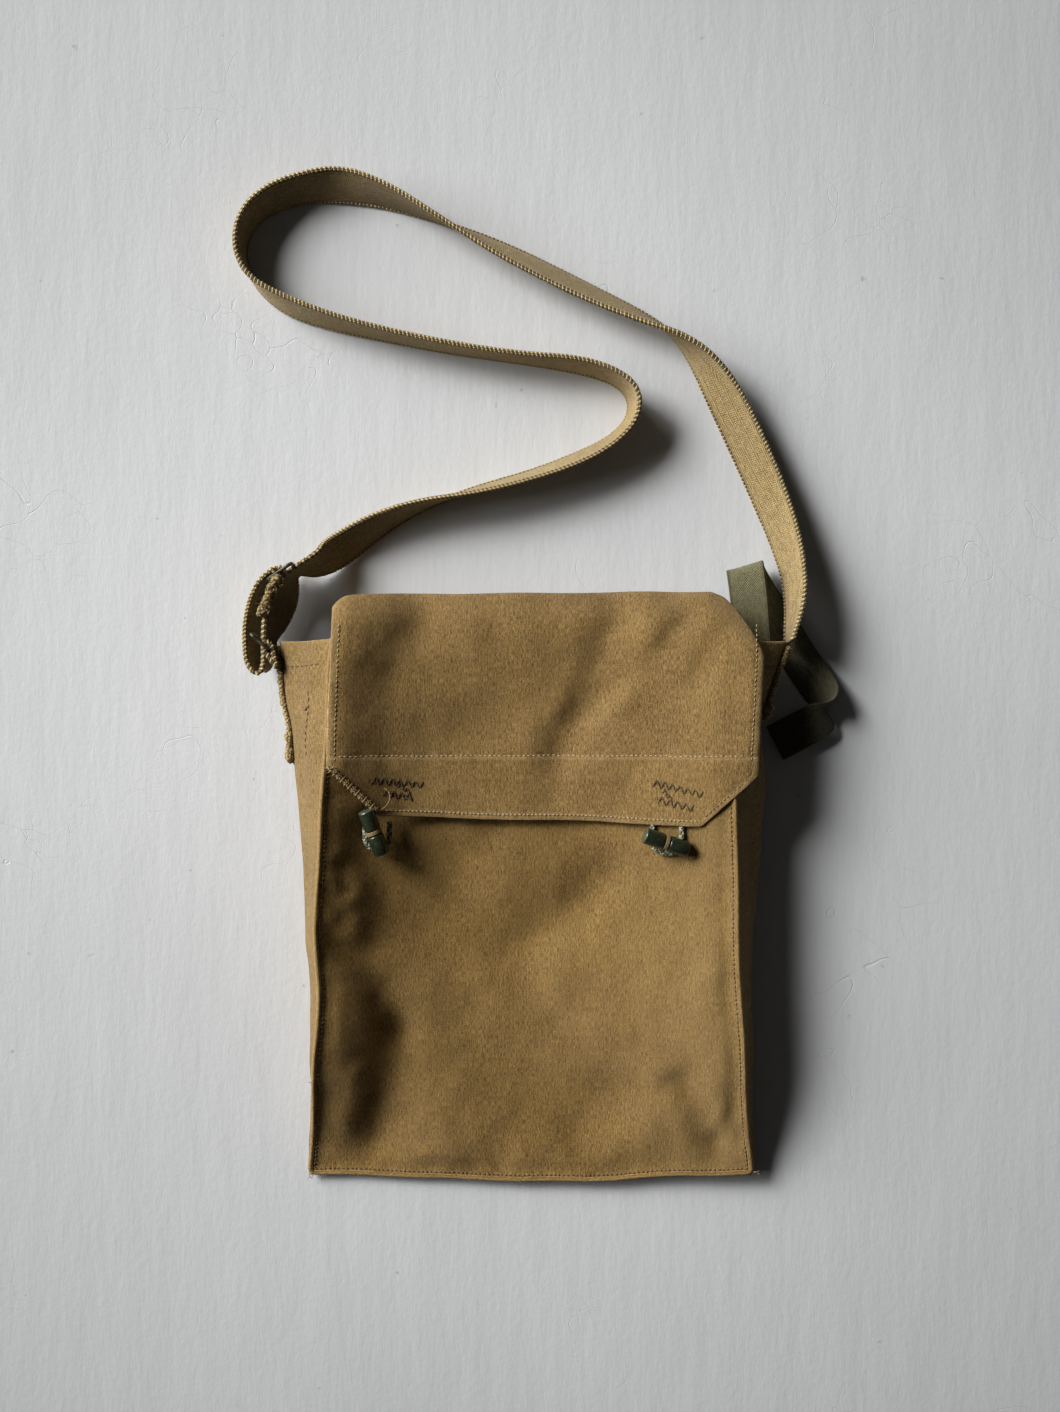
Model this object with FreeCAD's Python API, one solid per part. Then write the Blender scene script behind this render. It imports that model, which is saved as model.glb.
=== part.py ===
"""Canvas haversack with a toggled flap and a webbing shoulder strap, lying on its back.

Millimetres. The origin is near the middle of the back panel's outer face, which lies on
the ground. +Z points from the back panel to the front panel, and +Y from the bottom seam
to the mouth. The front panel is lower at the bottom than at the mouth, so every piece on
the front is drawn flat, in (x, v, w), and then laid on that slope: v runs up the panel and
w stands off its face.
"""

import math
import os

import FreeCAD
import Part

Vector = FreeCAD.Vector

# Canvas shell
CANVAS = 1.2                  # one layer of canvas
MOUTH_Y = 167.5
BOTTOM_Y = -178.0
HALF_WIDTH_MOUTH = 126.0
HALF_WIDTH_BOTTOM = 143.0
FRONT_HEIGHT = 38.0           # the front face above the ground, at the origin
SLOPE = -4.8                  # degrees; below zero, so the front face falls to the bottom
BULGE_BOTTOM = 3.0            # the side gussets' belly beyond the seams
BULGE_MOUTH = 37.0
HEM = 15.0                    # the turned hem around the mouth
LAYER_GAP = 0.4               # between the gusset's curved face and a layer sewn to it
SEAM_WIDTH = 3.5              # the raised, topstitched seam around the front panel
SEAM_RISE = 0.8

# Flap
BACK_FOLD = (172.0, 0.6)      # (y, z) of the line where the flap leaves the back panel
FRONT_FOLD = (194.0, 57.0)    # (y, z) of the flap's top fold
BRIDGE_SAG = 8.0              # the bridge's bow away from the mouth
HINGE_GAP = 1.0               # each layer stops this far from its fold line
FLAP_GAP = 2.0                # the flap's lining above the front face
FLAP_LEFT, FLAP_RIGHT = -127.0, 144.0
FOLD_RIGHT = 113.0            # the top fold is shorter than the flap is wide
FLAP_BOTTOM = 51.0
CHAMFER_X, CHAMFER_V = 33.0, 31.0
HEM_BAND = 41.0               # the doubled band along the flap's lower edge
BARTACK = (34.0, 17.0, 0.4)   # width, depth and rise of the zigzag stitching

# Toggles and their cords
TOGGLE_LENGTH = 30.0
TOGGLE_RADIUS = 5.25
GROOVE_RADIUS = 4.0
GROOVE_WIDTH = 3.4
TWINE_RADIUS = 5.0
STEM_RADIUS = 1.5
TOGGLE_LIFT = 5.0             # the dowel's underside above the front face
CORD_RADIUS = 1.8
TOGGLES = {                   # (x, v) of the waist, and the dowel's angle from +X
    "left": (-100.5, 45.5, -70.0),
    "right": (84.0, 39.0, -19.0),
}

# Webbing and metalwork
WEB = 2.0                     # strap webbing thickness
STRAP_WIDTH = 28.0
TAPE_WIDTH = 25.0             # the thinner olive side loop
TAPE = 1.2
CHAPE_WIDTH = 26.0
FITTING_HEIGHT = 24.0         # mid height of the webbing and metal at the mouth
RING_BAR = 1.25
RING_INSIDE = 30.0
RING_PIN = (-168.8, 161.0)    # (x, y) of the ring's inner bar
RING_REACH = (-10.2, 8.8)     # from the inner bar to the outer bar
RING_CORNER = 2.6
SLIDER_BAR = 1.2
SLIDER_CENTRE = (-161.0, 209.5)
SLIDER_DIRECTION = (0.82, 0.57)
SLIDER_LENGTH = 18.0
STEPS = 3                     # sections from one strap station to the next

# The shoulder strap stands on its edge. Each station is x, y, the lean of its upper edge
# to the left of the way along, in degrees, and the height of its lower edge.
STRAP_STATIONS = [
    (-158.8, 206.3, 0, 10.0), (-150.6, 212.0, 0, 10.0), (-144.5, 215.2, 12, 7.0),
    (-136.0, 218.5, 34, 2.5), (-126.0, 224.5, 44, 0.4), (-104.0, 240.0, 29, 0.4),
    (-75.0, 254.0, 8, 0.4),
    (-36.0, 264.0, -14, 0.4), (0.0, 273.5, -16, 0.4), (30.0, 284.5, -19, 0.4),
    (52.0, 296.0, -15, 0.4), (65.0, 310.0, -13, 0.4), (66.0, 326.0, -13, 0.4),
    (54.0, 337.5, -10, 0.4), (30.0, 345.0, -12, 0.4), (-10.0, 349.5, -2, 0.4),
    (-55.0, 356.0, -4, 0.4), (-99.0, 365.0, -6, 0.4), (-133.0, 373.5, -12, 0.4),
    (-162.0, 384.0, -15, 0.4), (-183.0, 399.5, 2, 0.4), (-191.0, 420.0, 7, 0.4),
    (-185.0, 440.5, 15, 0.4), (-169.0, 453.0, 26, 0.4), (-148.0, 460.0, 30, 0.4),
    (-125.0, 462.5, 42, 0.4), (-97.0, 456.0, 22, 0.4), (-60.0, 439.0, -6, 0.4),
    (-17.0, 418.0, -31, 0.4), (37.0, 391.0, -31, 0.4), (77.0, 373.0, -20, 0.4),
    (95.0, 362.5, 2, 0.4), (111.0, 346.5, 28, 0.4), (124.0, 325.0, 49, 0.4),
    (137.0, 298.0, 52, 0.4), (152.0, 264.0, 50, 0.4), (163.0, 234.0, 38, 1.0),
    (168.5, 210.0, 26, 4.0), (169.0, 190.0, 18, 8.0), (165.6, 172.0, 6, 9.5),
    (164.6, 165.0, 0, 10.0),
]

# The strap's doubled end, from the slider down through the ring and back up.
RETURN_STATIONS = [
    (-159.6, 205.6, 0, 10.0), (-165.5, 200.5, 0, 10.0), (-170.5, 189.0, 0, 10.0),
    (-173.4, 176.0, 0, 10.0), (-173.8, 163.0, 0, 10.0), (-175.4, 152.0, 0, 10.0),
    (-179.4, 147.4, 0, 10.0), (-183.6, 152.0, 0, 10.0), (-185.0, 163.0, 0, 10.0),
    (-184.5, 177.0, 0, 10.0), (-181.0, 192.5, 0, 10.0), (-173.0, 205.8, 0, 10.0),
    (-163.2, 212.7, 0, 10.0),
]

# The olive side loop lies flat: each station is a point, and the direction across it.
SIDE_LOOP_STATIONS = [
    ((141.5, 170.5, 13.0), (0.99, 0.02, 0.0)), ((140.3, 185.0, 17.0), (0.98, 0.12, 0.0)),
    ((138.5, 201.0, 18.0), (0.97, 0.2, 0.0)), ((137.4, 213.0, 12.5), (0.957, 0.29, 0.0)),
    ((140.6, 207.0, 5.0), (0.91, 0.4, 0.0)), ((150.5, 191.0, 2.6), (0.87, 0.48, 0.0)),
    ((165.5, 168.0, 2.2), (0.845, 0.535, 0.0)), ((180.5, 145.0, 2.0), (0.845, 0.535, 0.0)),
    ((189.5, 131.5, 5.6), (0.62, 0.62, 0.42)), ((192.5, 123.0, 11.0), (0.16, 0.69, 0.7)),
    ((187.5, 116.5, 12.6), (-0.42, 0.84, 0.3)), ((173.0, 108.0, 7.6), (-0.517, 0.848, 0.0)),
    ((157.0, 100.0, 7.6), (-0.517, 0.848, 0.0)),
]


def save(name, shape):
    """Write one sub-part, as a solid that has been proved valid."""
    if not shape.isValid() or shape.Volume <= 0:
        raise ValueError(f"{name} is not a sound solid")
    shape.exportStep(f"parts/{name}.step")


def on_front(shape):
    """Lay a shape drawn flat at the origin on the sloping front face."""
    shape = shape.copy()
    shape.rotate(Vector(0, 0, 0), Vector(1, 0, 0), -SLOPE)
    shape.translate(Vector(0, 0, FRONT_HEIGHT))
    return shape


def front_z(y, w=0.0):
    """Height of the plane that is w above the front face, at the given y."""
    slope = math.radians(SLOPE)
    return FRONT_HEIGHT - y * math.tan(slope) + w / math.cos(slope)


def half_width(y):
    """Half the width between the side seams at the given y."""
    share = (y - BOTTOM_Y) / (MOUTH_Y - BOTTOM_Y)
    return HALF_WIDTH_BOTTOM + (HALF_WIDTH_MOUTH - HALF_WIDTH_BOTTOM) * share


def plate(outline, thickness, base=0.0):
    """A flat polygon of (x, y) corners, extruded upward from the given height."""
    corners = [Vector(x, y, base) for x, y in outline]
    face = Part.Face(Part.makePolygon(corners + corners[:1]))
    return face.extrude(Vector(0, 0, thickness))


def loft(sections):
    """A solid ruled from each closed polygon of points to the next."""
    wires = [Part.makePolygon(points + points[:1]) for points in sections]
    return Part.makeLoft(wires, True, True)


def smooth(rows, steps):
    """Rows of numbers, with steps - 1 rows added after each on a Catmull-Rom curve."""
    padded = [rows[0]] + rows + [rows[-1]]
    out = []
    for before, start, end, after in zip(padded, padded[1:], padded[2:], padded[3:]):
        for k in range(steps):
            t = k / steps
            out.append([
                b + 0.5 * t * (c - a + t * (2 * a - 5 * b + 4 * c - d + t * (3 * (b - c) + d - a)))
                for a, b, c, d in zip(before, start, end, after)
            ])
    return out + [list(rows[-1])]


def ribbon(stations, width, thickness):
    """A webbing strip through stations of (x, y, z) and the direction across it."""
    rows = smooth([list(point) + list(across) for point, across in stations], STEPS)
    points = [Vector(*row[:3]) for row in rows]
    sections = []
    for i, row in enumerate(rows):
        along = points[min(i + 1, len(rows) - 1)] - points[max(i - 1, 0)]
        across = Vector(*row[3:])
        across = (across - along * (across.dot(along) / along.dot(along))).normalize()
        out = across.cross(along).normalize() * (thickness / 2)
        side = across * (width / 2)
        sections.append([points[i] + side + out, points[i] + side - out,
                         points[i] - side - out, points[i] - side + out])
    return loft(sections)


def standing(stations, width):
    """Stations of a strip that stands on its edge, as points and directions across it."""
    flat = []
    for i, (x, y, lean, lift) in enumerate(stations):
        before, after = stations[max(i - 1, 0)], stations[min(i + 1, len(stations) - 1)]
        along = Vector(after[0] - before[0], after[1] - before[1], 0).normalize()
        tilt = math.radians(lean)
        across = Vector(-along.y * math.sin(tilt), along.x * math.sin(tilt), math.cos(tilt))
        height = lift + width / 2 * math.cos(tilt) + WEB / 2 * abs(math.sin(tilt))
        flat.append(((x, y, height), tuple(across)))
    return flat


# --- the canvas shell ---

def back_panel():
    """The back, up to the line where it turns into the flap."""
    top = BACK_FOLD[0] - HINGE_GAP
    return plate([(-HALF_WIDTH_BOTTOM, BOTTOM_Y), (HALF_WIDTH_BOTTOM, BOTTOM_Y),
                  (half_width(top), top), (-half_width(top), top)], CANVAS)


def front_outline(inset=0.0):
    """The front panel's outline, drawn in from its side and bottom seams."""
    bottom, top = HALF_WIDTH_BOTTOM - inset, HALF_WIDTH_MOUTH - inset
    return [(-top, MOUTH_Y), (-bottom, BOTTOM_Y + inset), (bottom, BOTTOM_Y + inset), (top, MOUTH_Y)]


def front_panel():
    return on_front(plate(front_outline(), CANVAS, -CANVAS))


def front_edge_seam():
    """The seam allowance, turned out and topstitched on three sides of the front."""
    outside = front_outline()
    inside = front_outline(SEAM_WIDTH)
    return on_front(plate(outside + inside[::-1], SEAM_RISE))


def front_mouth_hem():
    """The front panel's turned hem, behind the panel."""
    half = HALF_WIDTH_MOUTH - 3 * CANVAS
    band = [(-half, MOUTH_Y - HEM), (half, MOUTH_Y - HEM), (half, MOUTH_Y), (-half, MOUTH_Y)]
    return on_front(plate(band, CANVAS, -2 * CANVAS))


def gusset_x(y, share, out):
    """The side gusset's outer x at a share of its height, and out beyond its face."""
    up = (y - BOTTOM_Y) / (MOUTH_Y - BOTTOM_Y)
    bulge = BULGE_BOTTOM + (BULGE_MOUTH - BULGE_BOTTOM) * up * up
    return half_width(y) + bulge * math.sin(math.pi * share) + out


def gusset_layer(side, y_range, z_range, inner, outer, stations=9, points=13):
    """A layer that follows the gusset's belly, between two distances from its face.

    z_range gives the layer's lower and upper height at a given y.
    """
    sections = []
    for i in range(stations):
        y = y_range[0] + (y_range[1] - y_range[0]) * i / (stations - 1)
        low, high = z_range(y)
        base, top = CANVAS, front_z(y, -CANVAS)
        heights = [low + (high - low) * k / (points - 1) for k in range(points)]
        faces = [
            [Vector(side * gusset_x(y, (z - base) / (top - base), out), y, z) for z in heights]
            for out in (outer, inner)
        ]
        sections.append(faces[0] + faces[1][::-1])
    return loft(sections)


def gusset(side):
    return gusset_layer(side, (BOTTOM_Y + CANVAS, MOUTH_Y - 1.0),
                        lambda y: (CANVAS, front_z(y, -CANVAS)), -CANVAS, 0)


def gusset_hem(side):
    """The gusset's turned hem, on its inner face, clear of the other hems."""
    return gusset_layer(side, (MOUTH_Y - HEM, MOUTH_Y - 1.0),
                        lambda y: (4 * CANVAS, front_z(y, -4 * CANVAS)),
                        -2 * CANVAS - LAYER_GAP, -CANVAS - LAYER_GAP, 3)


def gusset_bottom():
    """The gusset's run along the bottom, bowed slightly outward."""
    sections = []
    half = HALF_WIDTH_BOTTOM - CANVAS
    top = front_z(BOTTOM_Y - 1.0, -CANVAS)
    heights = [CANVAS + (top - CANVAS) * k / 8 for k in range(9)]
    for x in (-half, 0, half):
        bow = 3.0 - 2.0 * abs(x) / half
        faces = [[Vector(x, BOTTOM_Y + shift - bow * math.sin(math.pi * k / 8), z)
                  for k, z in enumerate(heights)] for shift in (0, CANVAS)]
        sections.append(faces[0] + faces[1][::-1])
    return loft(sections)


# --- the flap ---

def flap_bridge():
    """The strip between the flap's two fold lines, bowed away from the mouth."""
    start, end = Vector(0, *BACK_FOLD), Vector(0, *FRONT_FOLD)
    chord = end - start
    length = chord.Length
    radius = (length * length / 4 + BRIDGE_SAG * BRIDGE_SAG) / (2 * BRIDGE_SAG)
    half_angle = math.asin(length / 2 / radius)
    up = chord.normalize()
    out = Vector(0, up.z, -up.y)
    centre = (start + end) * 0.5 - out * (radius - BRIDGE_SAG)
    trim = half_angle - HINGE_GAP / radius

    def at(angle, r):
        return centre + (out * math.cos(angle) + up * math.sin(angle)) * r

    r_in, r_out = radius - CANVAS / 2, radius + CANVAS / 2
    profile = Part.Wire([
        Part.Arc(at(-trim, r_in), at(0, r_in), at(trim, r_in)).toShape(),
        Part.LineSegment(at(trim, r_in), at(trim, r_out)).toShape(),
        Part.Arc(at(trim, r_out), at(0, r_out), at(-trim, r_out)).toShape(),
        Part.LineSegment(at(-trim, r_out), at(-trim, r_in)).toShape(),
    ])
    solid = Part.Face(profile).extrude(Vector(FOLD_RIGHT - FLAP_LEFT, 0, 0))
    solid.translate(Vector(FLAP_LEFT, 0, 0))
    return solid


def flap_outline(top):
    """The flap's outline up to the given v, with its cut lower corners."""
    corner = FLAP_BOTTOM + CHAMFER_V
    return [(FLAP_LEFT, corner), (FLAP_LEFT + CHAMFER_X, FLAP_BOTTOM),
            (FLAP_RIGHT - CHAMFER_X, FLAP_BOTTOM), (FLAP_RIGHT, corner),
            (FLAP_RIGHT, top)]


def flap_front():
    """The flap's outer layer, with its top corner falling away on the right."""
    top = FRONT_FOLD[0] - HINGE_GAP - 1.0
    outline = flap_outline(top - 21) + [(FOLD_RIGHT, top), (FLAP_LEFT, top)]
    return on_front(plate(outline, CANVAS, FLAP_GAP + 1.0))


def flap_hem_band():
    """The deep hem turned up inside the flap's lower edge."""
    top = FLAP_BOTTOM + HEM_BAND
    return on_front(plate(flap_outline(top) + [(FLAP_LEFT, top)], 1.0, FLAP_GAP))


def bartack(side):
    """The two rows of zigzag stitching that hold one cord loop."""
    width, depth, rise = BARTACK
    x, v, _ = TOGGLES[side]
    x += 15 if side == "left" else 8
    v = FLAP_BOTTOM + 11
    patch = [(x - width / 2, v), (x + width / 2, v),
             (x + width / 2, v + depth), (x - width / 2, v + depth)]
    return on_front(plate(patch, rise, FLAP_GAP + 1.0 + CANVAS))


def cord_loop(side):
    """A braided cord that leaves the hem, goes round the toggle's stem and returns.

    Straight runs joined by tangent arcs: down, across under the dowel, and up again.
    """
    x, v, _ = TOGGLES[side]
    x_left, x_right = (x - 5.5, x + 9.0) if side == "left" else (x - 8.0, x + 10.0)
    height = CORD_RADIUS + 0.1
    edge = FLAP_BOTTOM - 0.1
    bottom = v - 11.0
    radius = (x_right - x_left) / 2
    middle = (x_left + x_right) / 2
    turn = bottom + radius
    path = Part.Wire([
        Part.LineSegment(Vector(x_left, edge, height), Vector(x_left, turn, height)).toShape(),
        Part.Arc(Vector(x_left, turn, height), Vector(middle, bottom, height),
                 Vector(x_right, turn, height)).toShape(),
        Part.LineSegment(Vector(x_right, turn, height), Vector(x_right, edge, height)).toShape(),
    ])
    circle = Part.makeCircle(CORD_RADIUS, Vector(x_left, edge, height), Vector(0, 1, 0))
    tube = path.makePipeShell([Part.Wire(circle)], True, True)
    ideal = math.pi * CORD_RADIUS ** 2 * path.Length
    print(f"cord_loop_{side}: length {path.Length:.1f}, bend radius {radius:.1f}, "
          f"volume {tube.Volume / ideal:.3f} of section times length")
    return on_front(tube)


# --- toggles ---

def dowel_place(side, shape):
    """Turn a shape drawn along +X at the origin into a toggle's place on the front."""
    x, v, angle = TOGGLES[side]
    shape = shape.copy()
    shape.rotate(Vector(0, 0, 0), Vector(0, 0, 1), angle)
    shape.translate(Vector(x, v, TOGGLE_LIFT + TOGGLE_RADIUS))
    return on_front(shape)


def toggle(side):
    """A turned dowel with rounded ends and a waist groove for the twine."""
    half = TOGGLE_LENGTH / 2
    bar = Part.makeCylinder(TOGGLE_RADIUS, TOGGLE_LENGTH, Vector(-half, 0, 0), Vector(1, 0, 0))
    bar = bar.makeFillet(0.8, [e for e in bar.Edges if len(e.Vertexes) == 1])
    start = Vector(-GROOVE_WIDTH / 2, 0, 0)
    groove = Part.makeCylinder(TOGGLE_RADIUS + 1, GROOVE_WIDTH, start, Vector(1, 0, 0))
    core = Part.makeCylinder(GROOVE_RADIUS, GROOVE_WIDTH, start, Vector(1, 0, 0))
    return dowel_place(side, bar.cut(groove.cut(core)))


def toggle_twine(side):
    """The twine wound in the dowel's waist."""
    width = GROOVE_WIDTH - 0.2
    start = Vector(-width / 2, 0, 0)
    wound = Part.makeCylinder(TWINE_RADIUS, width, start, Vector(1, 0, 0))
    core = Part.makeCylinder(GROOVE_RADIUS, width, start, Vector(1, 0, 0))
    return dowel_place(side, wound.cut(core))


def toggle_stem(side):
    """The twine from the front panel up to the waist, on the toggle's own axis."""
    x, v, _ = TOGGLES[side]
    height = TOGGLE_LIFT + TOGGLE_RADIUS - TWINE_RADIUS - 0.3
    return on_front(Part.makeCylinder(STEM_RADIUS, height, Vector(x, v, 0)))


# --- straps and metalwork ---

def shoulder_strap():
    return ribbon(standing(STRAP_STATIONS, STRAP_WIDTH), STRAP_WIDTH, WEB)


def strap_return():
    return ribbon(standing(RETURN_STATIONS, STRAP_WIDTH), STRAP_WIDTH, WEB)


def side_loop():
    return ribbon(SIDE_LOOP_STATIONS, TAPE_WIDTH, TAPE)


def sewn_webbing(side, y_range):
    """Webbing sewn flat down the outside of a side gusset from the mouth."""
    low = FITTING_HEIGHT - CHAPE_WIDTH / 2
    high = FITTING_HEIGHT + CHAPE_WIDTH / 2 - 1.5
    return gusset_layer(side, y_range, lambda y: (low, high), LAYER_GAP, WEB)


def ring_keeper():
    """The chape's folded end, a sleeve round the ring's inner bar."""
    height = CHAPE_WIDTH - 1.0
    base = Vector(*RING_PIN, FITTING_HEIGHT - height / 2)
    sleeve = Part.makeCylinder(RING_BAR + 2.1, height, base)
    return sleeve.cut(Part.makeCylinder(RING_BAR + 0.4, height, base))


def wire_frame(width, height, corner, bar):
    """A closed loop of round bar in the XZ plane, from x = 0 to width."""
    half = height / 2
    legs = [(corner, -half), (width - corner, -half), (width, corner - half),
            (width, half - corner), (width - corner, half), (corner, half),
            (0, half - corner), (0, corner - half)]
    centres = [(width - corner, corner - half), (width - corner, half - corner),
               (corner, half - corner), (corner, corner - half)]
    points = [Vector(x, 0, z) for x, z in legs]
    edges = []
    for i, (x, z) in enumerate(centres):
        diagonal = math.radians(-45 + 90 * i)
        middle = Vector(x + corner * math.cos(diagonal), 0, z + corner * math.sin(diagonal))
        edges.append(Part.LineSegment(points[2 * i], points[2 * i + 1]).toShape())
        edges.append(Part.Arc(points[2 * i + 1], middle, points[(2 * i + 2) % 8]).toShape())
    circle = Part.makeCircle(bar, points[0], Vector(1, 0, 0))
    return Part.Wire(edges).makePipeShell([Part.Wire(circle)], True, True)


def turned(shape, direction, place):
    """Turn a shape drawn along +X to an (x, y) direction, and move it to a place."""
    shape.rotate(Vector(0, 0, 0), Vector(0, 0, 1), math.degrees(math.atan2(direction[1], direction[0])))
    shape.translate(Vector(*place, FITTING_HEIGHT))
    return shape


def strap_ring():
    """The rectangular wire ring that hangs in the chape."""
    ring = wire_frame(math.hypot(*RING_REACH), RING_INSIDE + 2 * RING_BAR, RING_CORNER, RING_BAR)
    return turned(ring, RING_REACH, RING_PIN)


def slider():
    """The three-bar slider: a wire frame with a bar across its middle."""
    height = STRAP_WIDTH + 2 + 2 * SLIDER_BAR
    frame = wire_frame(SLIDER_LENGTH, height, 3.0, SLIDER_BAR)
    frame.translate(Vector(-SLIDER_LENGTH / 2, 0, 0))
    bar = Part.makeCylinder(SLIDER_BAR - 0.2, height, Vector(0, 0, -height / 2))
    return turned(frame.fuse(bar), SLIDER_DIRECTION, SLIDER_CENTRE)


def strap_end_loop():
    """The strap's sewn end, wrapped round the slider's middle bar."""
    base = Vector(0, 0, 1 - STRAP_WIDTH / 2)
    wrap = Part.makeCylinder(SLIDER_BAR + 1.4, STRAP_WIDTH - 2, base)
    wrap = wrap.cut(Part.makeCylinder(SLIDER_BAR, STRAP_WIDTH - 2, base))
    return turned(wrap, SLIDER_DIRECTION, SLIDER_CENTRE)


def main():
    os.makedirs("parts", exist_ok=True)
    parts = {
        "back_panel": back_panel(),
        "front_panel": front_panel(),
        "front_edge_seam": front_edge_seam(),
        "front_mouth_hem": front_mouth_hem(),
        "gusset_bottom": gusset_bottom(),
        "flap_bridge": flap_bridge(),
        "flap_front": flap_front(),
        "flap_hem_band": flap_hem_band(),
        "shoulder_strap": shoulder_strap(),
        "strap_return": strap_return(),
        "side_loop": side_loop(),
        "strap_chape": sewn_webbing(-1, (90.0, MOUTH_Y - 5)),
        "strap_end_patch": sewn_webbing(1, (118.0, MOUTH_Y - 5)),
        "ring_keeper": ring_keeper(),
        "strap_ring": strap_ring(),
        "slider": slider(),
        "strap_end_loop": strap_end_loop(),
    }
    for name, side in (("left", -1), ("right", 1)):
        parts[f"gusset_{name}"] = gusset(side)
        parts[f"gusset_hem_{name}"] = gusset_hem(side)
        parts[f"bartack_{name}"] = bartack(name)
        parts[f"cord_loop_{name}"] = cord_loop(name)
        parts[f"toggle_{name}"] = toggle(name)
        parts[f"toggle_twine_{name}"] = toggle_twine(name)
        parts[f"toggle_stem_{name}"] = toggle_stem(name)
    for name, shape in parts.items():
        save(name, shape)


main()
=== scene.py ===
"""Looks for a canvas haversack that lies on its back: cloth, webbing, cord, thread and metal.

Shapes are worked out in millimetres and turned into metres where a mesh is made. Every mesh
carries a point attribute called weave: how far the point is across and along its cloth, in
millimetres, and its wear, from -1 for darkened webbing to 1 for rubbed pale. The webbing's
darkening is in large part painted shade, and on the front panel part of the paleness is
painted light. The materials read it.
"""

import math

import bpy
import numpy as np
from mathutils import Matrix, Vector


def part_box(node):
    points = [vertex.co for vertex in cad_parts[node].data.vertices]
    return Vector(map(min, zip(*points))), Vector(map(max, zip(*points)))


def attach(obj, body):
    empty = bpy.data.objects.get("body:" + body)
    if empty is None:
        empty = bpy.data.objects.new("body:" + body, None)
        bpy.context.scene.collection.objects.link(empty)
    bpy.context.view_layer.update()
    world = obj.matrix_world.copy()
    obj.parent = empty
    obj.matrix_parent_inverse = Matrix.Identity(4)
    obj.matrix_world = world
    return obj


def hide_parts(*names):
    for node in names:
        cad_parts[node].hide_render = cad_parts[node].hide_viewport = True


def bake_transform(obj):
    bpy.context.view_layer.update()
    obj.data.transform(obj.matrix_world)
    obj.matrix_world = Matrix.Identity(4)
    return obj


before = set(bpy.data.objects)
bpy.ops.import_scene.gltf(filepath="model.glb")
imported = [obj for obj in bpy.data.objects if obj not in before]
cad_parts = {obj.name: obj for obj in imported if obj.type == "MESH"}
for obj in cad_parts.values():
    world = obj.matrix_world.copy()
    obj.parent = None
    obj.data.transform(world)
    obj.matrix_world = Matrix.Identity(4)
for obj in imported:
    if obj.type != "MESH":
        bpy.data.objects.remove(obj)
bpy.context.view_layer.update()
MM = 0.001


def box_mm(node):
    low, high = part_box(node)
    return np.array(low) / MM, np.array(high) / MM


FRONT_HIGH = box_mm("front_panel")[1]
BACK_LOW, BACK_HIGH = box_mm("back_panel")
FLAP_BOTTOM = box_mm("flap_front")[0][1]
CANVAS = BACK_HIGH[2] - BACK_LOW[2]
BOTTOM_Y, MOUTH_Y = BACK_LOW[1], FRONT_HIGH[1]
HALF_BOTTOM = FRONT_HIGH[0]
HALF_MOUTH = box_mm("front_mouth_hem")[1][0] + 3 * CANVAS
BULGE_BOTTOM = 3.0
BULGE_MOUTH = box_mm("gusset_right")[1][0] - HALF_MOUTH
MOUTH_HEM = 15.0
HEM_GAP = 0.05                # between a panel and the hem turned inside it
HEM_SHIFT = 200.0             # along the cloth, so that a hem's yarns aren't its panel's
GROUND = CANVAS * 0.6         # where the gussets' cloth meets the back panel
SEAM_STITCH = 3.0             # from the front's seam line in to its stitches
GUSSET_GIRTH = 62.0           # a gusset's cloth from the back seam to the front seam
WEB = 2.0
STRAP_WIDTH = 28.0
TAPE = 1.2
TAPE_WIDTH = 25.0
CORD = 3.6
LEFT, RIGHT = -1, 1
random = np.random.default_rng(7)


# --- lines and grids ---

def unit(vectors):
    """The same directions, each of length one."""
    return vectors / np.maximum(np.linalg.norm(vectors, axis=-1, keepdims=True), 1e-9)


def between(start, end, share):
    return start + (end - start) * share


def shares(rows, cols, first=0.0):
    """Two grids: how far up each point is, from 0 to 1, and how far across, from first to 1."""
    up = np.linspace(0, 1, rows)[:, None] * np.ones((1, cols))
    across = np.linspace(first, 1, cols)[None, :] * np.ones((rows, 1))
    return up, across


def lengths(path):
    """How far each point is along a path, or along each column of a grid."""
    steps = np.linalg.norm(np.diff(path, axis=0), axis=-1)
    return np.concatenate([np.zeros((1, *steps.shape[1:])), np.cumsum(steps, axis=0)])


def resample(path, spacing):
    """The same line with points at even distances."""
    run = lengths(path)
    count = max(2, int(round(run[-1] / spacing)) + 1)
    return at_run(path, run, np.linspace(0, run[-1], count))


def at_run(table, run, wanted):
    """The rows of a table at the wanted distances along it."""
    return np.stack([np.interp(wanted, run, column) for column in table.T], axis=-1)


def rail(points, resolution=12):
    """Points along the smooth NURBS line that the given points control."""
    curve = bpy.data.curves.new("rail", "CURVE")
    curve.dimensions = "3D"
    spline = curve.splines.new("NURBS")
    spline.points.add(len(points) - 1)
    for target, p in zip(spline.points, points):
        target.co = (*[float(c) for c in p], 1.0)
    spline.order_u = 3
    spline.use_endpoint_u = True
    spline.resolution_u = resolution
    holder = bpy.data.objects.new("rail", curve)
    line = bpy.data.meshes.new_from_object(holder)
    out = np.array([tuple(v.co) for v in line.vertices])
    bpy.data.objects.remove(holder)
    bpy.data.curves.remove(curve)
    bpy.data.meshes.remove(line)
    return out


def directions_across(path, upright=(0, 0, 1)):
    """Two directions across a path at each of its points: sideways and up."""
    tangent = unit(np.gradient(path, axis=0))
    side = unit(np.cross(tangent, upright))
    return side, np.cross(side, tangent)


def wound_line(path, side, up, angle, radius):
    """A line that winds round a path."""
    return path + side * (np.cos(angle) * radius)[:, None] + up * (np.sin(angle) * radius)[:, None]


# --- shapes, gathered into meshes ---

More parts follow.
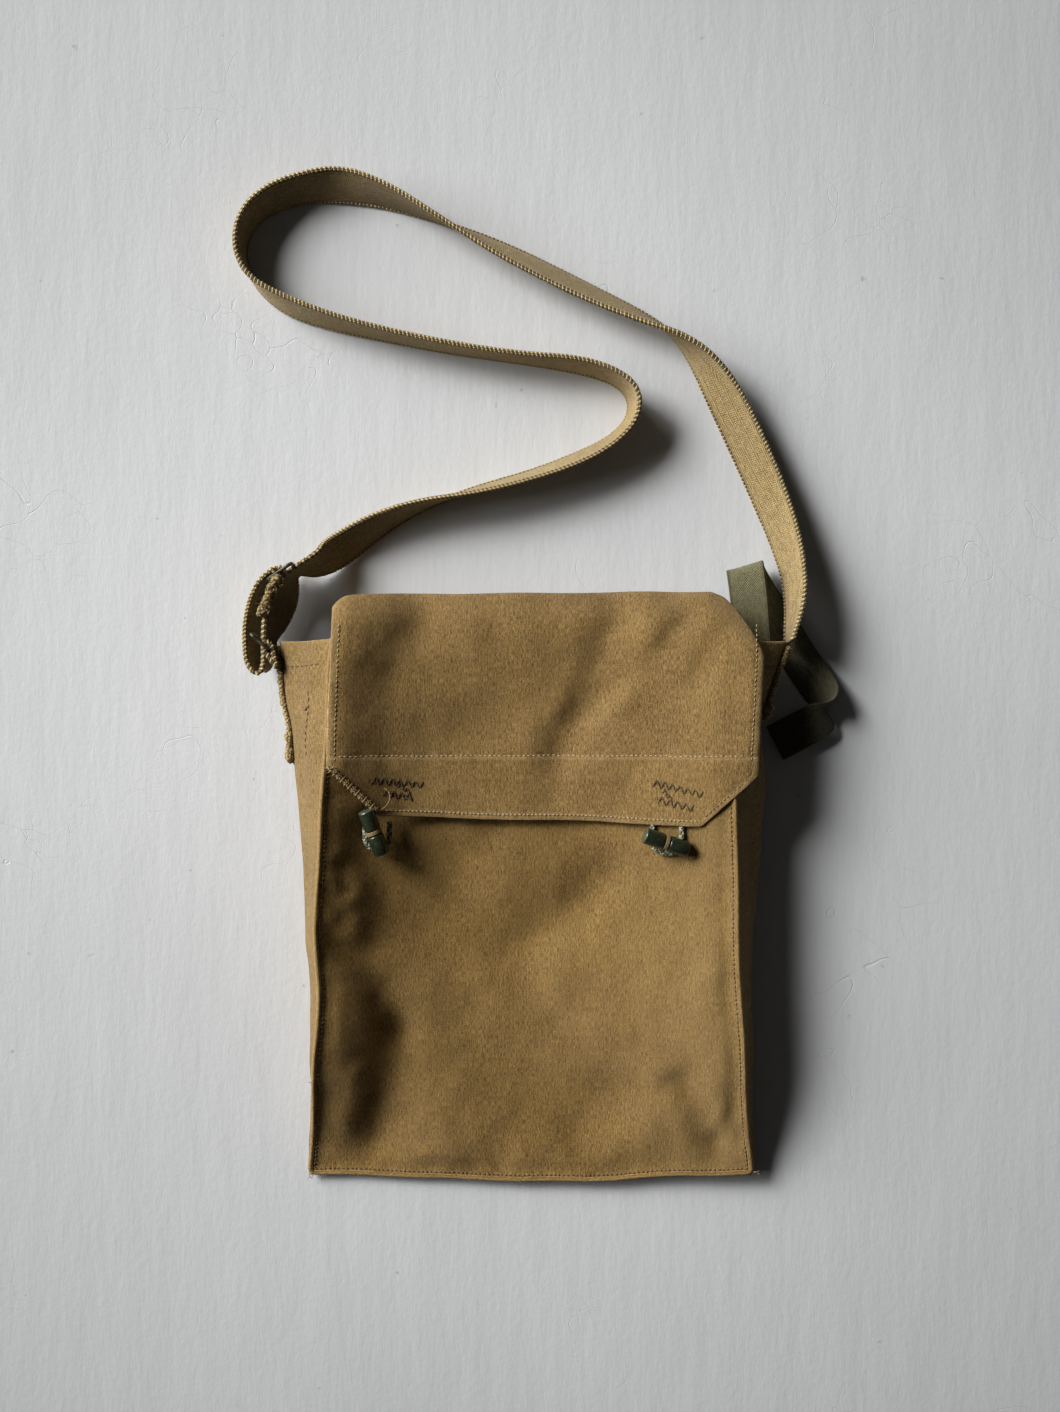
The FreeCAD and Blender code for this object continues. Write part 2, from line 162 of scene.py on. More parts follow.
def sleeve(rings, sides):
    """The faces of a tube of rings, each with the same number of points."""
    return [(i * sides + k, i * sides + (k + 1) % sides,
             (i + 1) * sides + (k + 1) % sides, (i + 1) * sides + k)
            for i in range(rings - 1) for k in range(sides)]


def closed_sleeve(rings, sides):
    """The same with a flat face at each end."""
    last = (rings - 1) * sides
    ends = [tuple(range(sides))[::-1], tuple(range(last, last + sides))]
    return sleeve(rings, sides) + ends


class Bits:
    """Shapes in millimetres, gathered into one mesh."""

    def __init__(self):
        self.points, self.faces, self.marks = [], [], []

    def add(self, points, faces, marks):
        start = len(self.points)
        self.points.extend(tuple(p) for p in points)
        self.faces.extend(tuple(start + i for i in face) for face in faces)
        self.marks.extend(tuple(m) for m in marks)

    def grid(self, surface, thick, across, along, wear, flip=False):
        """A sheet whose outer face is the grid of points, with a rounded edge all round."""
        marks = np.stack(np.broadcast_arrays(across, along, wear), axis=2)
        if flip:
            surface, marks = surface[:, ::-1], marks[:, ::-1]
        rows, cols = surface.shape[:2]
        normal = unit(np.cross(np.gradient(surface, axis=1), np.gradient(surface, axis=0)))
        inner = surface - normal * thick
        count = rows * cols
        index = np.arange(count).reshape(rows, cols)
        faces = []
        for i in range(rows - 1):
            for j in range(cols - 1):
                a, b, c, d = index[i, j], index[i, j + 1], index[i + 1, j + 1], index[i + 1, j]
                faces.append((a, b, c, d))
                faces.append((d + count, c + count, b + count, a + count))
        ring = [(0, j) for j in range(cols)] + [(i, cols - 1) for i in range(1, rows)]
        ring += [(rows - 1, j) for j in range(cols - 2, -1, -1)]
        ring += [(i, 0) for i in range(rows - 2, 0, -1)]
        rim, rim_marks = [], []
        for i, j in ring:
            neighbour = surface[min(max(i, 1), rows - 2), min(max(j, 1), cols - 2)]
            inward = unit(neighbour - surface[i, j])
            rim.append((surface[i, j] + inner[i, j]) / 2 - inward * thick * 0.5)
            rim_marks.append(marks[i, j] + [0, 0, 0.25])
        n = len(ring)
        for k in range(n):
            a, b = index[ring[k]], index[ring[(k + 1) % n]]
            p, q = 2 * count + k, 2 * count + (k + 1) % n
            faces.append((b, a, p, q))
            faces.append((q, p, a + count, b + count))
        points = np.concatenate([surface.reshape(-1, 3), inner.reshape(-1, 3), np.array(rim)])
        flat = marks.reshape(-1, 3)
        self.add(points, faces, np.concatenate([flat, flat, np.array(rim_marks)]))

    def tube(self, path, radius, sides=8, wear=0.0):
        """A round tube with domed ends along a path of points."""
        path = np.array(path, float)
        n = len(path)
        radii = np.full(n, radius) if np.isscalar(radius) else np.array(radius)
        tangent = unit(np.gradient(path, axis=0))
        side = np.cross(tangent[0], [0, 0, 1])
        if np.linalg.norm(side) < 0.1:
            side = np.cross(tangent[0], [0, 1, 0])
        run = lengths(path)
        points, marks = [], []
        for i in range(n):
            side = unit(side - tangent[i] * side.dot(tangent[i]))
            up = np.cross(side, tangent[i])
            for k in range(sides):
                a = 2 * math.pi * k / sides
                points.append(path[i] + radii[i] * (side * math.cos(a) + up * math.sin(a)))
                marks.append((k / sides, run[i], wear))
        faces = sleeve(n, sides)
        for end, direction in ((0, -1), (n - 1, 1)):
            tip = len(points)
            points.append(path[end] + direction * tangent[end] * radii[end] * 0.6)
            marks.append((0.5, run[end], wear))
            for k in range(sides):
                a, b = end * sides + k, end * sides + (k + 1) % sides
                faces.append((b, a, tip) if direction < 0 else (a, b, tip))
        self.add(points, faces, marks)

    def build(self, name, material, body=None, stands_for=()):
        mesh = bpy.data.meshes.new(name)
        mesh.from_pydata([tuple(c * MM for c in p) for p in self.points], [], self.faces)
        mesh.shade_smooth()
        attribute = mesh.attributes.new("weave", "FLOAT_VECTOR", "POINT")
        attribute.data.foreach_set("vector", np.array(self.marks, np.float32).ravel())
        mesh.materials.append(material)
        piece = bpy.data.objects.new(name, mesh)
        bpy.context.scene.collection.objects.link(piece)
        if stands_for:
            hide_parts(*stands_for)
        if body:
            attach(piece, body)
        return piece


# --- surface relief ---

def value_noise(x, y, size, seed):
    """Smooth noise from -1 to 1, with features about size across."""
    table = np.random.default_rng(seed).uniform(-1, 1, (64, 64))
    gx, gy = np.asarray(x) / size + 17.3, np.asarray(y) / size + 11.9
    ix, iy = np.floor(gx).astype(int), np.floor(gy).astype(int)
    fx, fy = step(gx - ix, 0, 1), step(gy - iy, 0, 1)

    def at(i, j):
        return table[i % 64, j % 64]

    low = at(ix, iy) * (1 - fx) + at(ix + 1, iy) * fx
    high = at(ix, iy + 1) * (1 - fx) + at(ix + 1, iy + 1) * fx
    return low * (1 - fy) + high * fy


def layered_noise(x, y, layers):
    """Noise of several sizes, each given as a height, a size and a seed."""
    return sum(height * value_noise(x, y, size, seed) for height, size, seed in layers)


def step(value, start, end):
    """A smooth step from 0 at start to 1 at end."""
    t = np.clip((value - start) / (end - start), 0, 1)
    return t * t * (3 - 2 * t)


def ridge(distance, width):
    """A bump of height 1 that fades with distance."""
    return np.exp(-(distance / width) ** 2)


def curve_at(value, knots):
    """A smooth curve through (position, height) knots."""
    at, to = np.array(knots, float).T
    slopes = np.gradient(to, at)
    value = np.clip(value, at[0], at[-1])
    i = np.clip(np.searchsorted(at, value) - 1, 0, len(at) - 2)
    gap = at[i + 1] - at[i]
    t = (value - at[i]) / gap
    return ((1 + 2 * t) * (1 - t) ** 2 * to[i] + t * (1 - t) ** 2 * gap * slopes[i]
            + t * t * (3 - 2 * t) * to[i + 1] + t * t * (t - 1) * gap * slopes[i + 1])


def creases(x, y, routes):
    """Creases along routes of points, each with a width and a depth; a swell's is negative."""
    total = 0.0
    for route, width, depth in routes:
        nearest = np.full(np.shape(x), 1e9)
        for (ax, ay), (bx, by) in zip(route, route[1:]):
            dx, dy = bx - ax, by - ay
            t = np.clip(((x - ax) * dx + (y - ay) * dy) / (dx * dx + dy * dy), 0, 1)
            nearest = np.minimum(nearest, np.hypot(x - ax - t * dx, y - ay - t * dy))
        total = total - depth * ridge(nearest, width)
    return total


def half_width(y):
    """Half the back panel's width."""
    return between(HALF_BOTTOM, HALF_MOUTH, (y - BOTTOM_Y) / (MOUTH_Y - BOTTOM_Y))


# The front panel hangs between its two side seams like a hammock, and lies nearly flat at
# the bottom. Each knot is a place along the bag and a position or height there.
LEFT_X = [(-184, -145.4), (-127, -140.8), (-65, -135.7), (-8, -136.6), (53, -133.0), (168, -126.6)]
RIGHT_X = [(-184, 142.0), (-138, 136.9), (-48, 130.2), (53, 127.8), (168, 126.0)]
LOWER_Y = [(-146, -179.6), (-115, -180.0), (-25, -183.0), (32, -183.6), (76, -180.6),
           (142, -177.6)]
LEFT_Z = [(-184, 3.6), (-160, 12), (-130, 29), (-95, 44), (-50, 51), (0, 54), (60, 56),
          (120, 55), (168, 52)]
RIGHT_Z = [(-184, 11), (-160, 19), (-130, 31.5), (-95, 42), (-50, 47), (0, 47), (60, 49),
           (120, 50), (168, 50)]
# the depth of the hammock across the bag, and how much of it shows along the bag
DISH = [(0, 0), (0.03, 3), (0.08, 10.5), (0.14, 21), (0.2, 27.5), (0.27, 30.5), (0.43, 31.5),
        (0.6, 29.5), (0.75, 20.5), (0.9, 8), (1, 0)]
FRONT_SAG = [(-184, 0), (-160, 0.16), (-130, 0.58), (-95, 0.92), (-50, 1), (60, 1),
             (110, 0.95), (168, 0.6)]
FLAP_SAG = [(45, 0.86), (94, 0.86), (130, 0.8), (160, 0.68), (180, 0.6), (200, 0.55)]


def front_left(y):
    return curve_at(y, LEFT_X) + 0.5 * np.sin(y / 13)


def front_right(y):
    return curve_at(y, RIGHT_X) + 0.4 * np.sin(y / 15 + 1)


def front_bottom(x):
    """The bottom seam of the front panel, which dips and rises."""
    return curve_at(x, LOWER_Y) + 0.4 * np.sin(x / 11)


def front_x(y, share, inset=0.0):
    """The place at a share of the way from the left seam to the right one."""
    return between(front_left(y) + inset, front_right(y) - inset, share)


def to_side_seam(x, y):
    """The distance in from the nearer side seam."""
    return np.minimum(x - front_left(y), front_right(y) - x)


def to_front_seam(x, y):
    """The distance in from the nearest seam of the front."""
    return np.minimum(to_side_seam(x, y), y - front_bottom(x))


def seam_z(y, side):
    return curve_at(y, LEFT_Z if side == LEFT else RIGHT_Z)


def across_share(x, y):
    return np.clip((x - front_left(y)) / (front_right(y) - front_left(y)), 0, 1)


def taut_z(x, y):
    """The height of a line pulled straight from one side seam to the other."""
    return between(seam_z(y, LEFT), seam_z(y, RIGHT), across_share(x, y))


def front_z(x, y):
    """The front panel without its creases."""
    return taut_z(x, y) - curve_at(across_share(x, y), DISH) * curve_at(y, FRONT_SAG)


FRONT_DEPTH = 1.45            # how strongly the front's creases stand out
FLAP_DEPTH = 1.25
FRONT_CREASES = [
    ([(-128, -24), (-112, -38), (-98, -56), (-87, -84)], 11, 3.6),
    ([(-87, -84), (-93, -118), (-103, -158)], 13, 3.4),
    ([(-101, 14), (-98, -22)], 13, 2.2),
    ([(-122, 22), (-119, 8)], 6, 2.2),
    ([(-132, 8), (-120, -8)], 7, 1.8),
    ([(-10, -31), (22, -8), (50, 14)], 17, 4.2),
    ([(28, -152), (56, -126)], 16, 2.2),
    ([(97, -116), (108, -140), (118, -163)], 10, 2.2),
    ([(119, -156), (131, -128)], 6, 1.0),
    ([(-60, -20), (-40, 30)], 24, 2.0),
    ([(96, 34), (104, -20)], 20, 2.0),
    ([(-107, 44), (-111, 29)], 11, 2.0),
    ([(-64, -60), (-58, -158)], 28, -3.0),
    ([(40, -60), (60, -100)], 40, -2.6),
    ([(-112, -112), (-120, -140)], 12, -1.6),
    ([(-30, 20), (20, 40)], 26, -1.4),
    ([(110, -60), (112, 10)], 14, -1.6),
]


def front_relief(x, y):
    """How far the front panel's cloth stands off its plane."""
    to_side, to_bottom = to_side_seam(x, y), y - front_bottom(x)
    inside = np.minimum(to_side, to_bottom)
    z = creases(x, y, FRONT_CREASES) + layered_noise(x, y, [(1.6, 46, 1), (0.8, 21, 2)])
    z = z + 0.28 * value_noise(x + y * 0.3, y - x * 0.2, 9, 3)
    pucker = value_noise(to_side * 0.25, y, 7.5, 4) * np.exp(-to_side / 9)
    pucker = pucker + value_noise(x, to_bottom * 0.25, 9.0, 5) * np.exp(-to_bottom / 10)
    z = FRONT_DEPTH * z * step(inside, -2, 16) + 0.9 * pucker * step(inside, 0, 5)
    return z - 0.9 * ridge(inside - 7, 5.0)


def front_top(x, y):
    """The height of the front panel's face, which is pressed down under the flap."""
    under_flap = 3.0 * step(y, 58, 84) * step(to_side_seam(x, y), 5, 22)
    return front_z(x, y) + front_relief(x, y) - under_flap


# --- the bag's shell ---

def bag_front(material):
    v, u = shares(210, 168)
    x = front_x(between(BOTTOM_Y + 1, MOUTH_Y, v), u)
    y = between(front_bottom(x), MOUTH_Y, v)
    x = front_x(y, u)
    # wear pales the cloth by the seams and on raised creases; the rise towards the right side is
    # painted light, for the more brightly lit right part of the panel
    wear = np.exp(-to_front_seam(x, y) / 2.0) * 0.35 + 0.28 * step(x, 40, 118)
    wear = wear + np.clip(front_relief(x, y) * 0.03, 0, 0.2)
    bits = Bits()
    bits.grid(np.stack([x, y, front_top(x, y)], axis=2), CANVAS, x, y, wear)
    # the turned hem inside the mouth
    v, u = shares(8, 168)
    y = MOUTH_Y - MOUTH_HEM * (1 - v)
    x = front_x(y, u, 4)
    hem = np.stack([x, y, front_top(x, y) - CANVAS - HEM_GAP], axis=2)
    bits.grid(hem, 1.0, x, y + HEM_SHIFT, 0.1)
    bits.build("bag_front", material, "bag", ["front_panel", "front_mouth_hem"])


def gusset_point(side, y, share, out=0.0):
    """A point of a side gusset's outer face, at a share of its height."""
    up = np.clip((y - BOTTOM_Y) / (MOUTH_Y - BOTTOM_Y), 0, 1.02)
    pressed = 0.3 * ridge(y - 110, 32) if side == RIGHT else 0.0
    bulge = BULGE_BOTTOM + (BULGE_MOUTH - BULGE_BOTTOM) * up * up * (1 - pressed)
    belly = np.sin(math.pi * share ** 0.92)
    base = -front_left(y) if side == LEFT else front_right(y)
    root = between(half_width(y), base, share)
    crease = 1.8 * up * value_noise(y * 0.4, share * 60, 12, 21 + side) * belly
    crease = crease + 0.9 * value_noise(y, share * 60 + y * 0.2, 19, 31 + side) * belly
    crease = crease - 2.6 * up * ridge(share - 0.72 - 0.05 * np.sin(y / 23), 0.09)
    x = root + bulge * belly + crease - 0.4 + out
    z = between(GROUND, seam_z(y, side) - 0.9, share)
    return np.stack([side * x, y, z], axis=-1)


def bag_gusset(side, name, material):
    bits = Bits()
    v, u = shares(190, 44)
    dip = 1.6 * np.sin(math.pi * u) * (1 + 0.3 * np.sin(u * 9))
    y = between(BOTTOM_Y + 0.5, MOUTH_Y - 1.0 - dip, v)
    wear = np.exp(-(1 - v) * 120) * 0.5 + np.exp(-(1 - u) * 20) * 0.4
    surface = gusset_point(side, y, u)
    bits.grid(surface, CANVAS, u * GUSSET_GIRTH, y, wear, side == RIGHT)
    v, u = shares(8, 44)
    y = MOUTH_Y - MOUTH_HEM - 1 + (MOUTH_HEM - 0.6 - dip[:8]) * v
    hem = gusset_point(side, y, 0.06 + 0.88 * u, -CANVAS - 0.15)
    bits.grid(hem, 1.0, u * GUSSET_GIRTH, y + HEM_SHIFT, 0.1, side == RIGHT)
    bits.build(f"bag_gusset_{name}", material, "bag",
               [f"gusset_{name}", f"gusset_hem_{name}"])


def bottom_point(x, share):
    """A point of the bottom gusset's outer face."""
    low = BOTTOM_Y - 0.6
    bow = 0.8 + 2.6 * ridge(x - 82, 22) + 0.6 * value_noise(x, share * 40, 24, 41)
    y = between(low, front_bottom(x), share) - bow * np.sin(math.pi * share)
    z = between(GROUND, front_z(x, front_bottom(x)) - 1.2, share)
    return np.stack([x, y, z], axis=-1)


def bag_bottom(material):
    share, u = shares(36, 150, -1)
    x = u * (HALF_BOTTOM - 0.8)
    bits = Bits()
    bits.grid(bottom_point(x, share), CANVAS, x, share * 66, np.exp(-(1 - share) * 20) * 0.4)
    bits.build("bag_bottom", material, "bag", ["gusset_bottom"])


def bag_back(material):
    v, u = shares(120, 96, -1)
    y = between(BACK_LOW[1] + 0.4, BACK_HIGH[1] - 5.6, v)
    x = u * (half_width(y) - 0.6)
    ripple = 0.5 + 0.45 * value_noise(x, y, 34, 51) * (1 - abs(u) ** 6)
    inside = np.minimum(half_width(y) - abs(x), y - BACK_LOW[1])
    z = CANVAS + np.clip(ripple, 0.0, 1.2) * step(inside, 2, 14)
    bits = Bits()
    bits.grid(np.stack([x, y, z], axis=2), CANVAS - 0.02, x, y, 0.0)
    bits.build("bag_back", material, "bag", ["back_panel"])


def seam_line():
    """The front panel's side and bottom seams as one line, from mouth to mouth."""
    y = np.linspace(MOUTH_Y - 0.5, BOTTOM_Y + 1, 230)
    left = np.stack([front_left(y), y], axis=1)
    x = np.linspace(front_left(BOTTOM_Y) + 1.5, front_right(BOTTOM_Y) - 1.5, 190)
    under = np.stack([x, front_bottom(x)], axis=1)
    y = np.linspace(BOTTOM_Y + 3, MOUTH_Y - 0.5, 230)
    right = np.stack([front_right(y), y], axis=1)
    return resample(np.concatenate([left, under, right]), 1.2)


def inward(line):
    """Unit steps from each point of the seam line towards the panel's middle."""
    along = unit(np.gradient(line, axis=0))
    return np.stack([-along[:, 1], along[:, 0]], axis=1)


def front_seam(material):
    """The raised seam round the front: a rolled ridge with an uneven outer edge."""
    line = seam_line()
    into = inward(line)
    run = lengths(line)
    width = 2.3 + 0.4 * value_noise(run, 0, 11, 61)
    lift = 0.5 + 0.22 * value_noise(run, 5, 8, 62)
    sections = []
    for t in np.linspace(0, 1, 9):
        offset = -0.7 + width * t
        place = line + into * offset[:, None]
        clamp = line + into * np.maximum(offset, 0.4)[:, None]
        rise = lift * math.sin(math.pi * min(t * 1.25, 1.0) ** 0.8) if t < 0.8 else 0.0
        drop = 1.6 * max(0.0, 1 - t * 5)
        z = front_top(clamp[:, 0], clamp[:, 1]) + rise - drop + 0.15
        sections.append(np.stack([place[:, 0], place[:, 1], z], axis=1))
    across = np.linspace(0, 4, 9)[None, :]
    bits = Bits()
    wear = 0.45 * ridge(across - 1.2, 0.9) + 0.05
    bits.grid(np.stack(sections, axis=1), 0.8, across, run[:, None], wear)
    bits.build("front_seam", material, "bag", ["front_edge_seam"])


def back_seam(material):
    """The seam between the gussets and the back panel, close to the ground."""
    radius = 1.35
    y = np.linspace(MOUTH_Y - 2, BOTTOM_Y + 1, 90)
    x = np.linspace(-half_width(BOTTOM_Y) + 1, half_width(BOTTOM_Y) - 1, 80)
    line = np.concatenate([np.stack([-half_width(y), y], axis=1),
                           np.stack([x, x * 0 + BOTTOM_Y], axis=1),
                           np.stack([half_width(y), y], axis=1)[::-1]])
    line = resample(np.pad(line, ((0, 0), (0, 1)), constant_values=radius + 0.2), 3.0)
    bits = Bits()
    bits.tube(line, radius + 0.12 * value_noise(lengths(line), 0, 14, 71), 10, 0.5)
    bits.build("back_seam", material, "bag")


# --- the flap ---

CORNER_CUT = 31.0             # how far the cut corners reach up the flap's sides
CORNER_LEFT, CORNER_RIGHT = -97.5, 106.0
BRIDGE_LEFT, BRIDGE_RIGHT = -126.6, 113.0
HEM_LINE = FLAP_BOTTOM + 42.0
SIDE_STITCH = 4.4
# (y, z) points from the back panel up to the bridge's middle, and from there over the top fold
BRIDGE_PROFILE = [(158, 1.6), (168, 1.7), (175.5, 4.5), (182.5, 12), (188.5, 24), (192.8, 38)]
FOLD_PROFILE = [(192.8, 38), (196.0, 46), (196.8, 50.5), (194.5, 54.5), (188, 58.2),
                (179, 60.8), (170, 61.2)]
FOLD_Y, FOLD_Z = FOLD_PROFILE[-1]


def flap_left(y):
    return -128.6 + 2.6 * step(y, 90, 185)


def flap_right(y):
    return 141.3 + 3.4 * step(y, 80, 165)


def flap_lower(x):
    """The flap's lower edge, with its cut corners."""
    corners = np.clip((CORNER_LEFT - x) / 31, 0, 1) + np.clip((x - CORNER_RIGHT) / 35, 0, 1)
    slope = 6.0 * np.clip((x - CORNER_LEFT) / (CORNER_RIGHT - CORNER_LEFT), 0, 1)
    return FLAP_BOTTOM + 4.2 - slope + CORNER_CUT * corners + 0.5 * np.sin(x / 19)


def flap_edge(x, y):
    """Distance in from the flap's free edges."""
    return np.minimum(np.minimum(x - flap_left(y), flap_right(y) - x), y - flap_lower(x))


FLAP_CREASES = [
    ([(-80, 178), (-98, 140), (-104, 100)], 16, 1.4),
    ([(56, 188), (47, 160), (32, 124), (18, 94)], 12, 3.4),
    ([(18, 94), (10, 60)], 12, 1.2),
    ([(-66, 186), (-74, 170)], 9, 1.8),
    ([(101, 184), (78, 158), (52, 138), (30, 118)], 9, 2.6),
    ([(118, 168), (104, 140)], 8, 1.8),
    ([(-20, 120), (-60, 104)], 14, 1.2),
    ([(88, 74), (70, 84)], 12, 1.0),
    ([(-70, 130), (-40, 150)], 30, -1.8),
    ([(0, 170), (30, 180)], 18, -1.2),
    ([(78, 166), (60, 130)], 9, -1.4),
    ([(112, 130), (118, 90)], 16, -1.6),
]


def flap_relief(x, y):
    """How far the flap's cloth stands off its plane, with its hems and lines of stitching."""
    edge = flap_edge(x, y)
    z = FLAP_DEPTH * creases(x, y, FLAP_CREASES) * step(edge, -1, 14)
    z = z + layered_noise(x, y, [(1.1, 42, 11), (0.5, 17, 12), (0.2, 7, 13)])
    hems = 0.6 * step(HEM_LINE - y, -0.6, 0.6) + 0.2 * (1 - step(edge, 3.9, 4.9))
    stitched = 0.55 * ridge(y - HEM_LINE, 1.0) + 0.35 * ridge(edge - SIDE_STITCH, 0.8)
    pucker = 0.45 * value_noise(x, y * 0.3, 6.5, 14) * np.exp(-abs(y - HEM_LINE) / 7)
    pucker = pucker + 0.5 * value_noise(x * 0.6, y * 0.6, 5.5, 15) * np.exp(-edge / 5)
    return z + hems - stitched + pucker


def flap_top(x, y):
    """The height of the flap's face over the front panel, and over the gusset on the right."""
    hang = 3.0 * step(x, 134, 152) + 8.0 * step(x, 116, 150) * step(y, 150, 196)
    hang = hang + 5.0 * step(-x, 116, 134) * step(y, 178, 196)
    lift = 4.0 + 1.5 * step(y, 140, 170)
    low, high = flap_left(y) + 3 + 7 * step(y, 135, 175), flap_right(y) - 6
    dish = curve_at(np.clip((x - low) / (high - low), 0, 1), DISH)
    z = taut_z(x, y) + lift - dish * curve_at(y, FLAP_SAG) + flap_relief(x, y) - hang
    # the flap rests on the front panel and can't sink through it
    rest = front_top(x, np.minimum(y, MOUTH_Y)) + 1.9
    rest = rest - 9.0 * (1 - step(to_side_seam(x, y), -1, 4))
    rest = rest - 7.0 * step(y, MOUTH_Y, MOUTH_Y + 11)
    softness = 0.7
    return np.logaddexp(z / softness, rest / softness) * softness


def fold_drop(x):
    """How far the top fold stands back from its middle."""
    left = 8.0 * np.clip((-x - 114) / 13, 0, 1.1) ** 2.5 + 2.6 * np.clip((-x - 60) / 60, 0, 1) ** 2
    right = 18.5 * np.clip((x - 112) / 34, 0, 1.1) ** 1.2
    return left + right + value_noise(x, 0, 38, 16)


def profile(points, count):
    """A smooth line through (y, z) points."""
    line = rail([(0, y, z) for y, z in points], 16)[:, 1:]
    return resample(line, lengths(line)[-1] / (count - 1))[:count]


def fold_share(x):
    """How low the fold sags at x, as a share of its profile's height."""
    return flap_top(x, FOLD_Y - fold_drop(x)) / FOLD_Z


def flap_back(material):
    """From the back panel up to the middle of the bridge: the part that is hidden below."""
    line = profile(BRIDGE_PROFILE, 36)
    _, u = shares(len(line), 110)
    line_y, line_z = line[:, 0][:, None], line[:, 1][:, None]
    x = between(BRIDGE_LEFT, BRIDGE_RIGHT, u)
    y = line_y - fold_drop(x) * step(line_z, 0, 36) * 0.8
    z = line_z * (1 - (1 - fold_share(x)) * step(line_z, 3, 38))
    wobble = 1.2 * value_noise(x, z * 0.6, 30, 17) * step(z, 4, 20)
    bits = Bits()
    surface = np.stack([x, y + wobble, z], axis=2)
    bits.grid(surface, CANVAS, x, lengths(line)[:, None], 0.0, flip=True)
    piece = bits.build("flap_bridge_cloth", material, None, ["flap_bridge"])
    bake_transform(piece)


def flap_surface():
    """The visible flap, from the middle of the bridge over the fold to the lower edge."""
    fold = profile(FOLD_PROFILE, 22)
    u = np.linspace(0, 1, 182)
    bridge_x = between(BRIDGE_LEFT, BRIDGE_RIGHT, u)
    fold_x = between(flap_left(FOLD_Y), flap_right(FOLD_Y), u)
    surface = []
    for share, (y, z) in zip(np.linspace(0, 1, len(fold)), fold):
        x = between(bridge_x, fold_x, step(share, 0, 1))
        y = y - fold_drop(x)
        face = flap_top(x, y) - (FOLD_Z - z)
        z = between(z * fold_share(x), face, step(share, 0.3, 0.85))
        surface.append(np.stack([x, y, z], axis=1))
    top = FOLD_Y - fold_drop(fold_x)
    for t in np.linspace(0, 1, 110)[1:]:
        y = between(top, flap_lower(fold_x), t)
        x = between(flap_left(y), flap_right(y), u)
        y = between(top, flap_lower(x), t)
        surface.append(np.stack([x, y, flap_top(x, y)], axis=1))
    return np.array(surface)


def flap_cloth(material):
    surface = flap_surface()
    x, y = surface[..., 0], surface[..., 1]
    edge = flap_edge(x, y)
    wear = 0.7 * np.exp(-np.clip(edge, 0, 99) / 0.8)
    wear = wear + 0.45 * ridge(y - HEM_LINE + 1.6, 0.9) + 0.35 * ridge(edge - 3.0, 0.9)
    bits = Bits()
    bits.grid(surface, CANVAS, x, lengths(surface), wear, flip=True)
    # the hem band behind the lower edge
    v, u = shares(24, 140)
    y = between(HEM_LINE, FLAP_BOTTOM, v)
    x = between(flap_left(y) + 0.8, flap_right(y) - 0.8, u)
    y = HEM_LINE + 0.5 + (flap_lower(x) + 0.6 - HEM_LINE) * v
    band = np.stack([x, y, flap_top(x, y) - CANVAS - HEM_GAP], axis=2)
    bits.grid(band, 0.9, x, y, 0.0, flip=True)
    piece = bits.build("flap_cloth", material, None, ["flap_front", "flap_hem_band"])
    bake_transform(piece)


# --- stitching ---

STITCH_ARCH = np.array([-0.35, 0.12, 0.24, 0.12, -0.35])
ZIGZAG_ARCH = np.array([-0.3, 0.15, 0.28, 0.28, 0.15, -0.3])


def uneven(amount):
    """A random size about 1."""
    return 1 + amount * random.uniform(-1, 1)


def stitch_row(bits, route, height, pitch=3.2, share=0.62, radius=0.33, jitter=0.18, wear=0.3):
    """Short stitches along a plan route of (x, y) points, laid on a surface."""
    line = resample(np.array(route, float), 0.4)
    run = lengths(line)
    start = 0.5
    while start + pitch < run[-1]:
        long = pitch * share * uneven(0.15)
        x, y = at_run(line, run, np.linspace(start, start + long, len(STITCH_ARCH))).T
        x = x + random.uniform(-jitter, jitter)
        y = y + random.uniform(-jitter, jitter)
        bits.tube(np.stack([x, y, height(x, y) + STITCH_ARCH], axis=1), radius, 6, wear)
        start += pitch * uneven(0.06)


def stitch_3d(bits, points, normals, pitch, share, radius, wear):
    """Short stitches along a line in space, arched off the surface along its normals."""
    run = lengths(points)
    start = 0.5
    while start + pitch < run[-1]:
        s = np.linspace(start, start + pitch * share, len(STITCH_ARCH))
        lifted = at_run(points, run, s) + at_run(normals, run, s) * STITCH_ARCH[:, None]
        bits.tube(lifted, radius, 6, wear)
        start += pitch * uneven(0.06)


def fibre(bits, start, heading, length, radius=0.22, curl=1.0, steps=9, wear=0.6, floor=-99.0):
    """A loose end of thread that wanders from a point and stays above a floor."""
    points = [np.array(start, float)]
    direction = unit(np.array(heading, float))
    for _ in range(steps):
        direction = unit(direction + curl * random.normal(0, 0.28, 3))
        following = points[-1] + direction * length / steps
        following[2] = max(following[2], floor)
        points.append(following)
    bits.tube(points, np.linspace(radius, radius * 0.5, len(points)), 5, wear)


def front_stitching(material):
    bits = Bits()
    line = seam_line()
    inside = line + inward(line) * SEAM_STITCH
    stitch_row(bits, inside[4:-4], lambda x, y: front_top(x, y) + 0.35, pitch=2.9, share=0.6,
               radius=0.3, jitter=0.12, wear=0.2)
    # loose ends at the corners and along the left seam
    left, right = front_left(BOTTOM_Y), front_right(BOTTOM_Y)
    low = BOTTOM_Y - 1
    for _ in range(4):
        start = (left + 1, low, seam_z(low, LEFT) + 1)
        fibre(bits, start, (0.1, -1, -0.1), 6, radius=0.25, floor=0.3)
    for _ in range(7):
        start = (right, low + 2, seam_z(low, RIGHT) + 0.5)
        fibre(bits, start, (1, -0.6, 0), 6, radius=0.28, curl=1.4, floor=0.3)
    fibre(bits, (front_left(-115) - 0.5, -115, seam_z(-115, LEFT)), (-1, -0.2, 0), 4)
    bits.build("front_stitching", material, "bag")


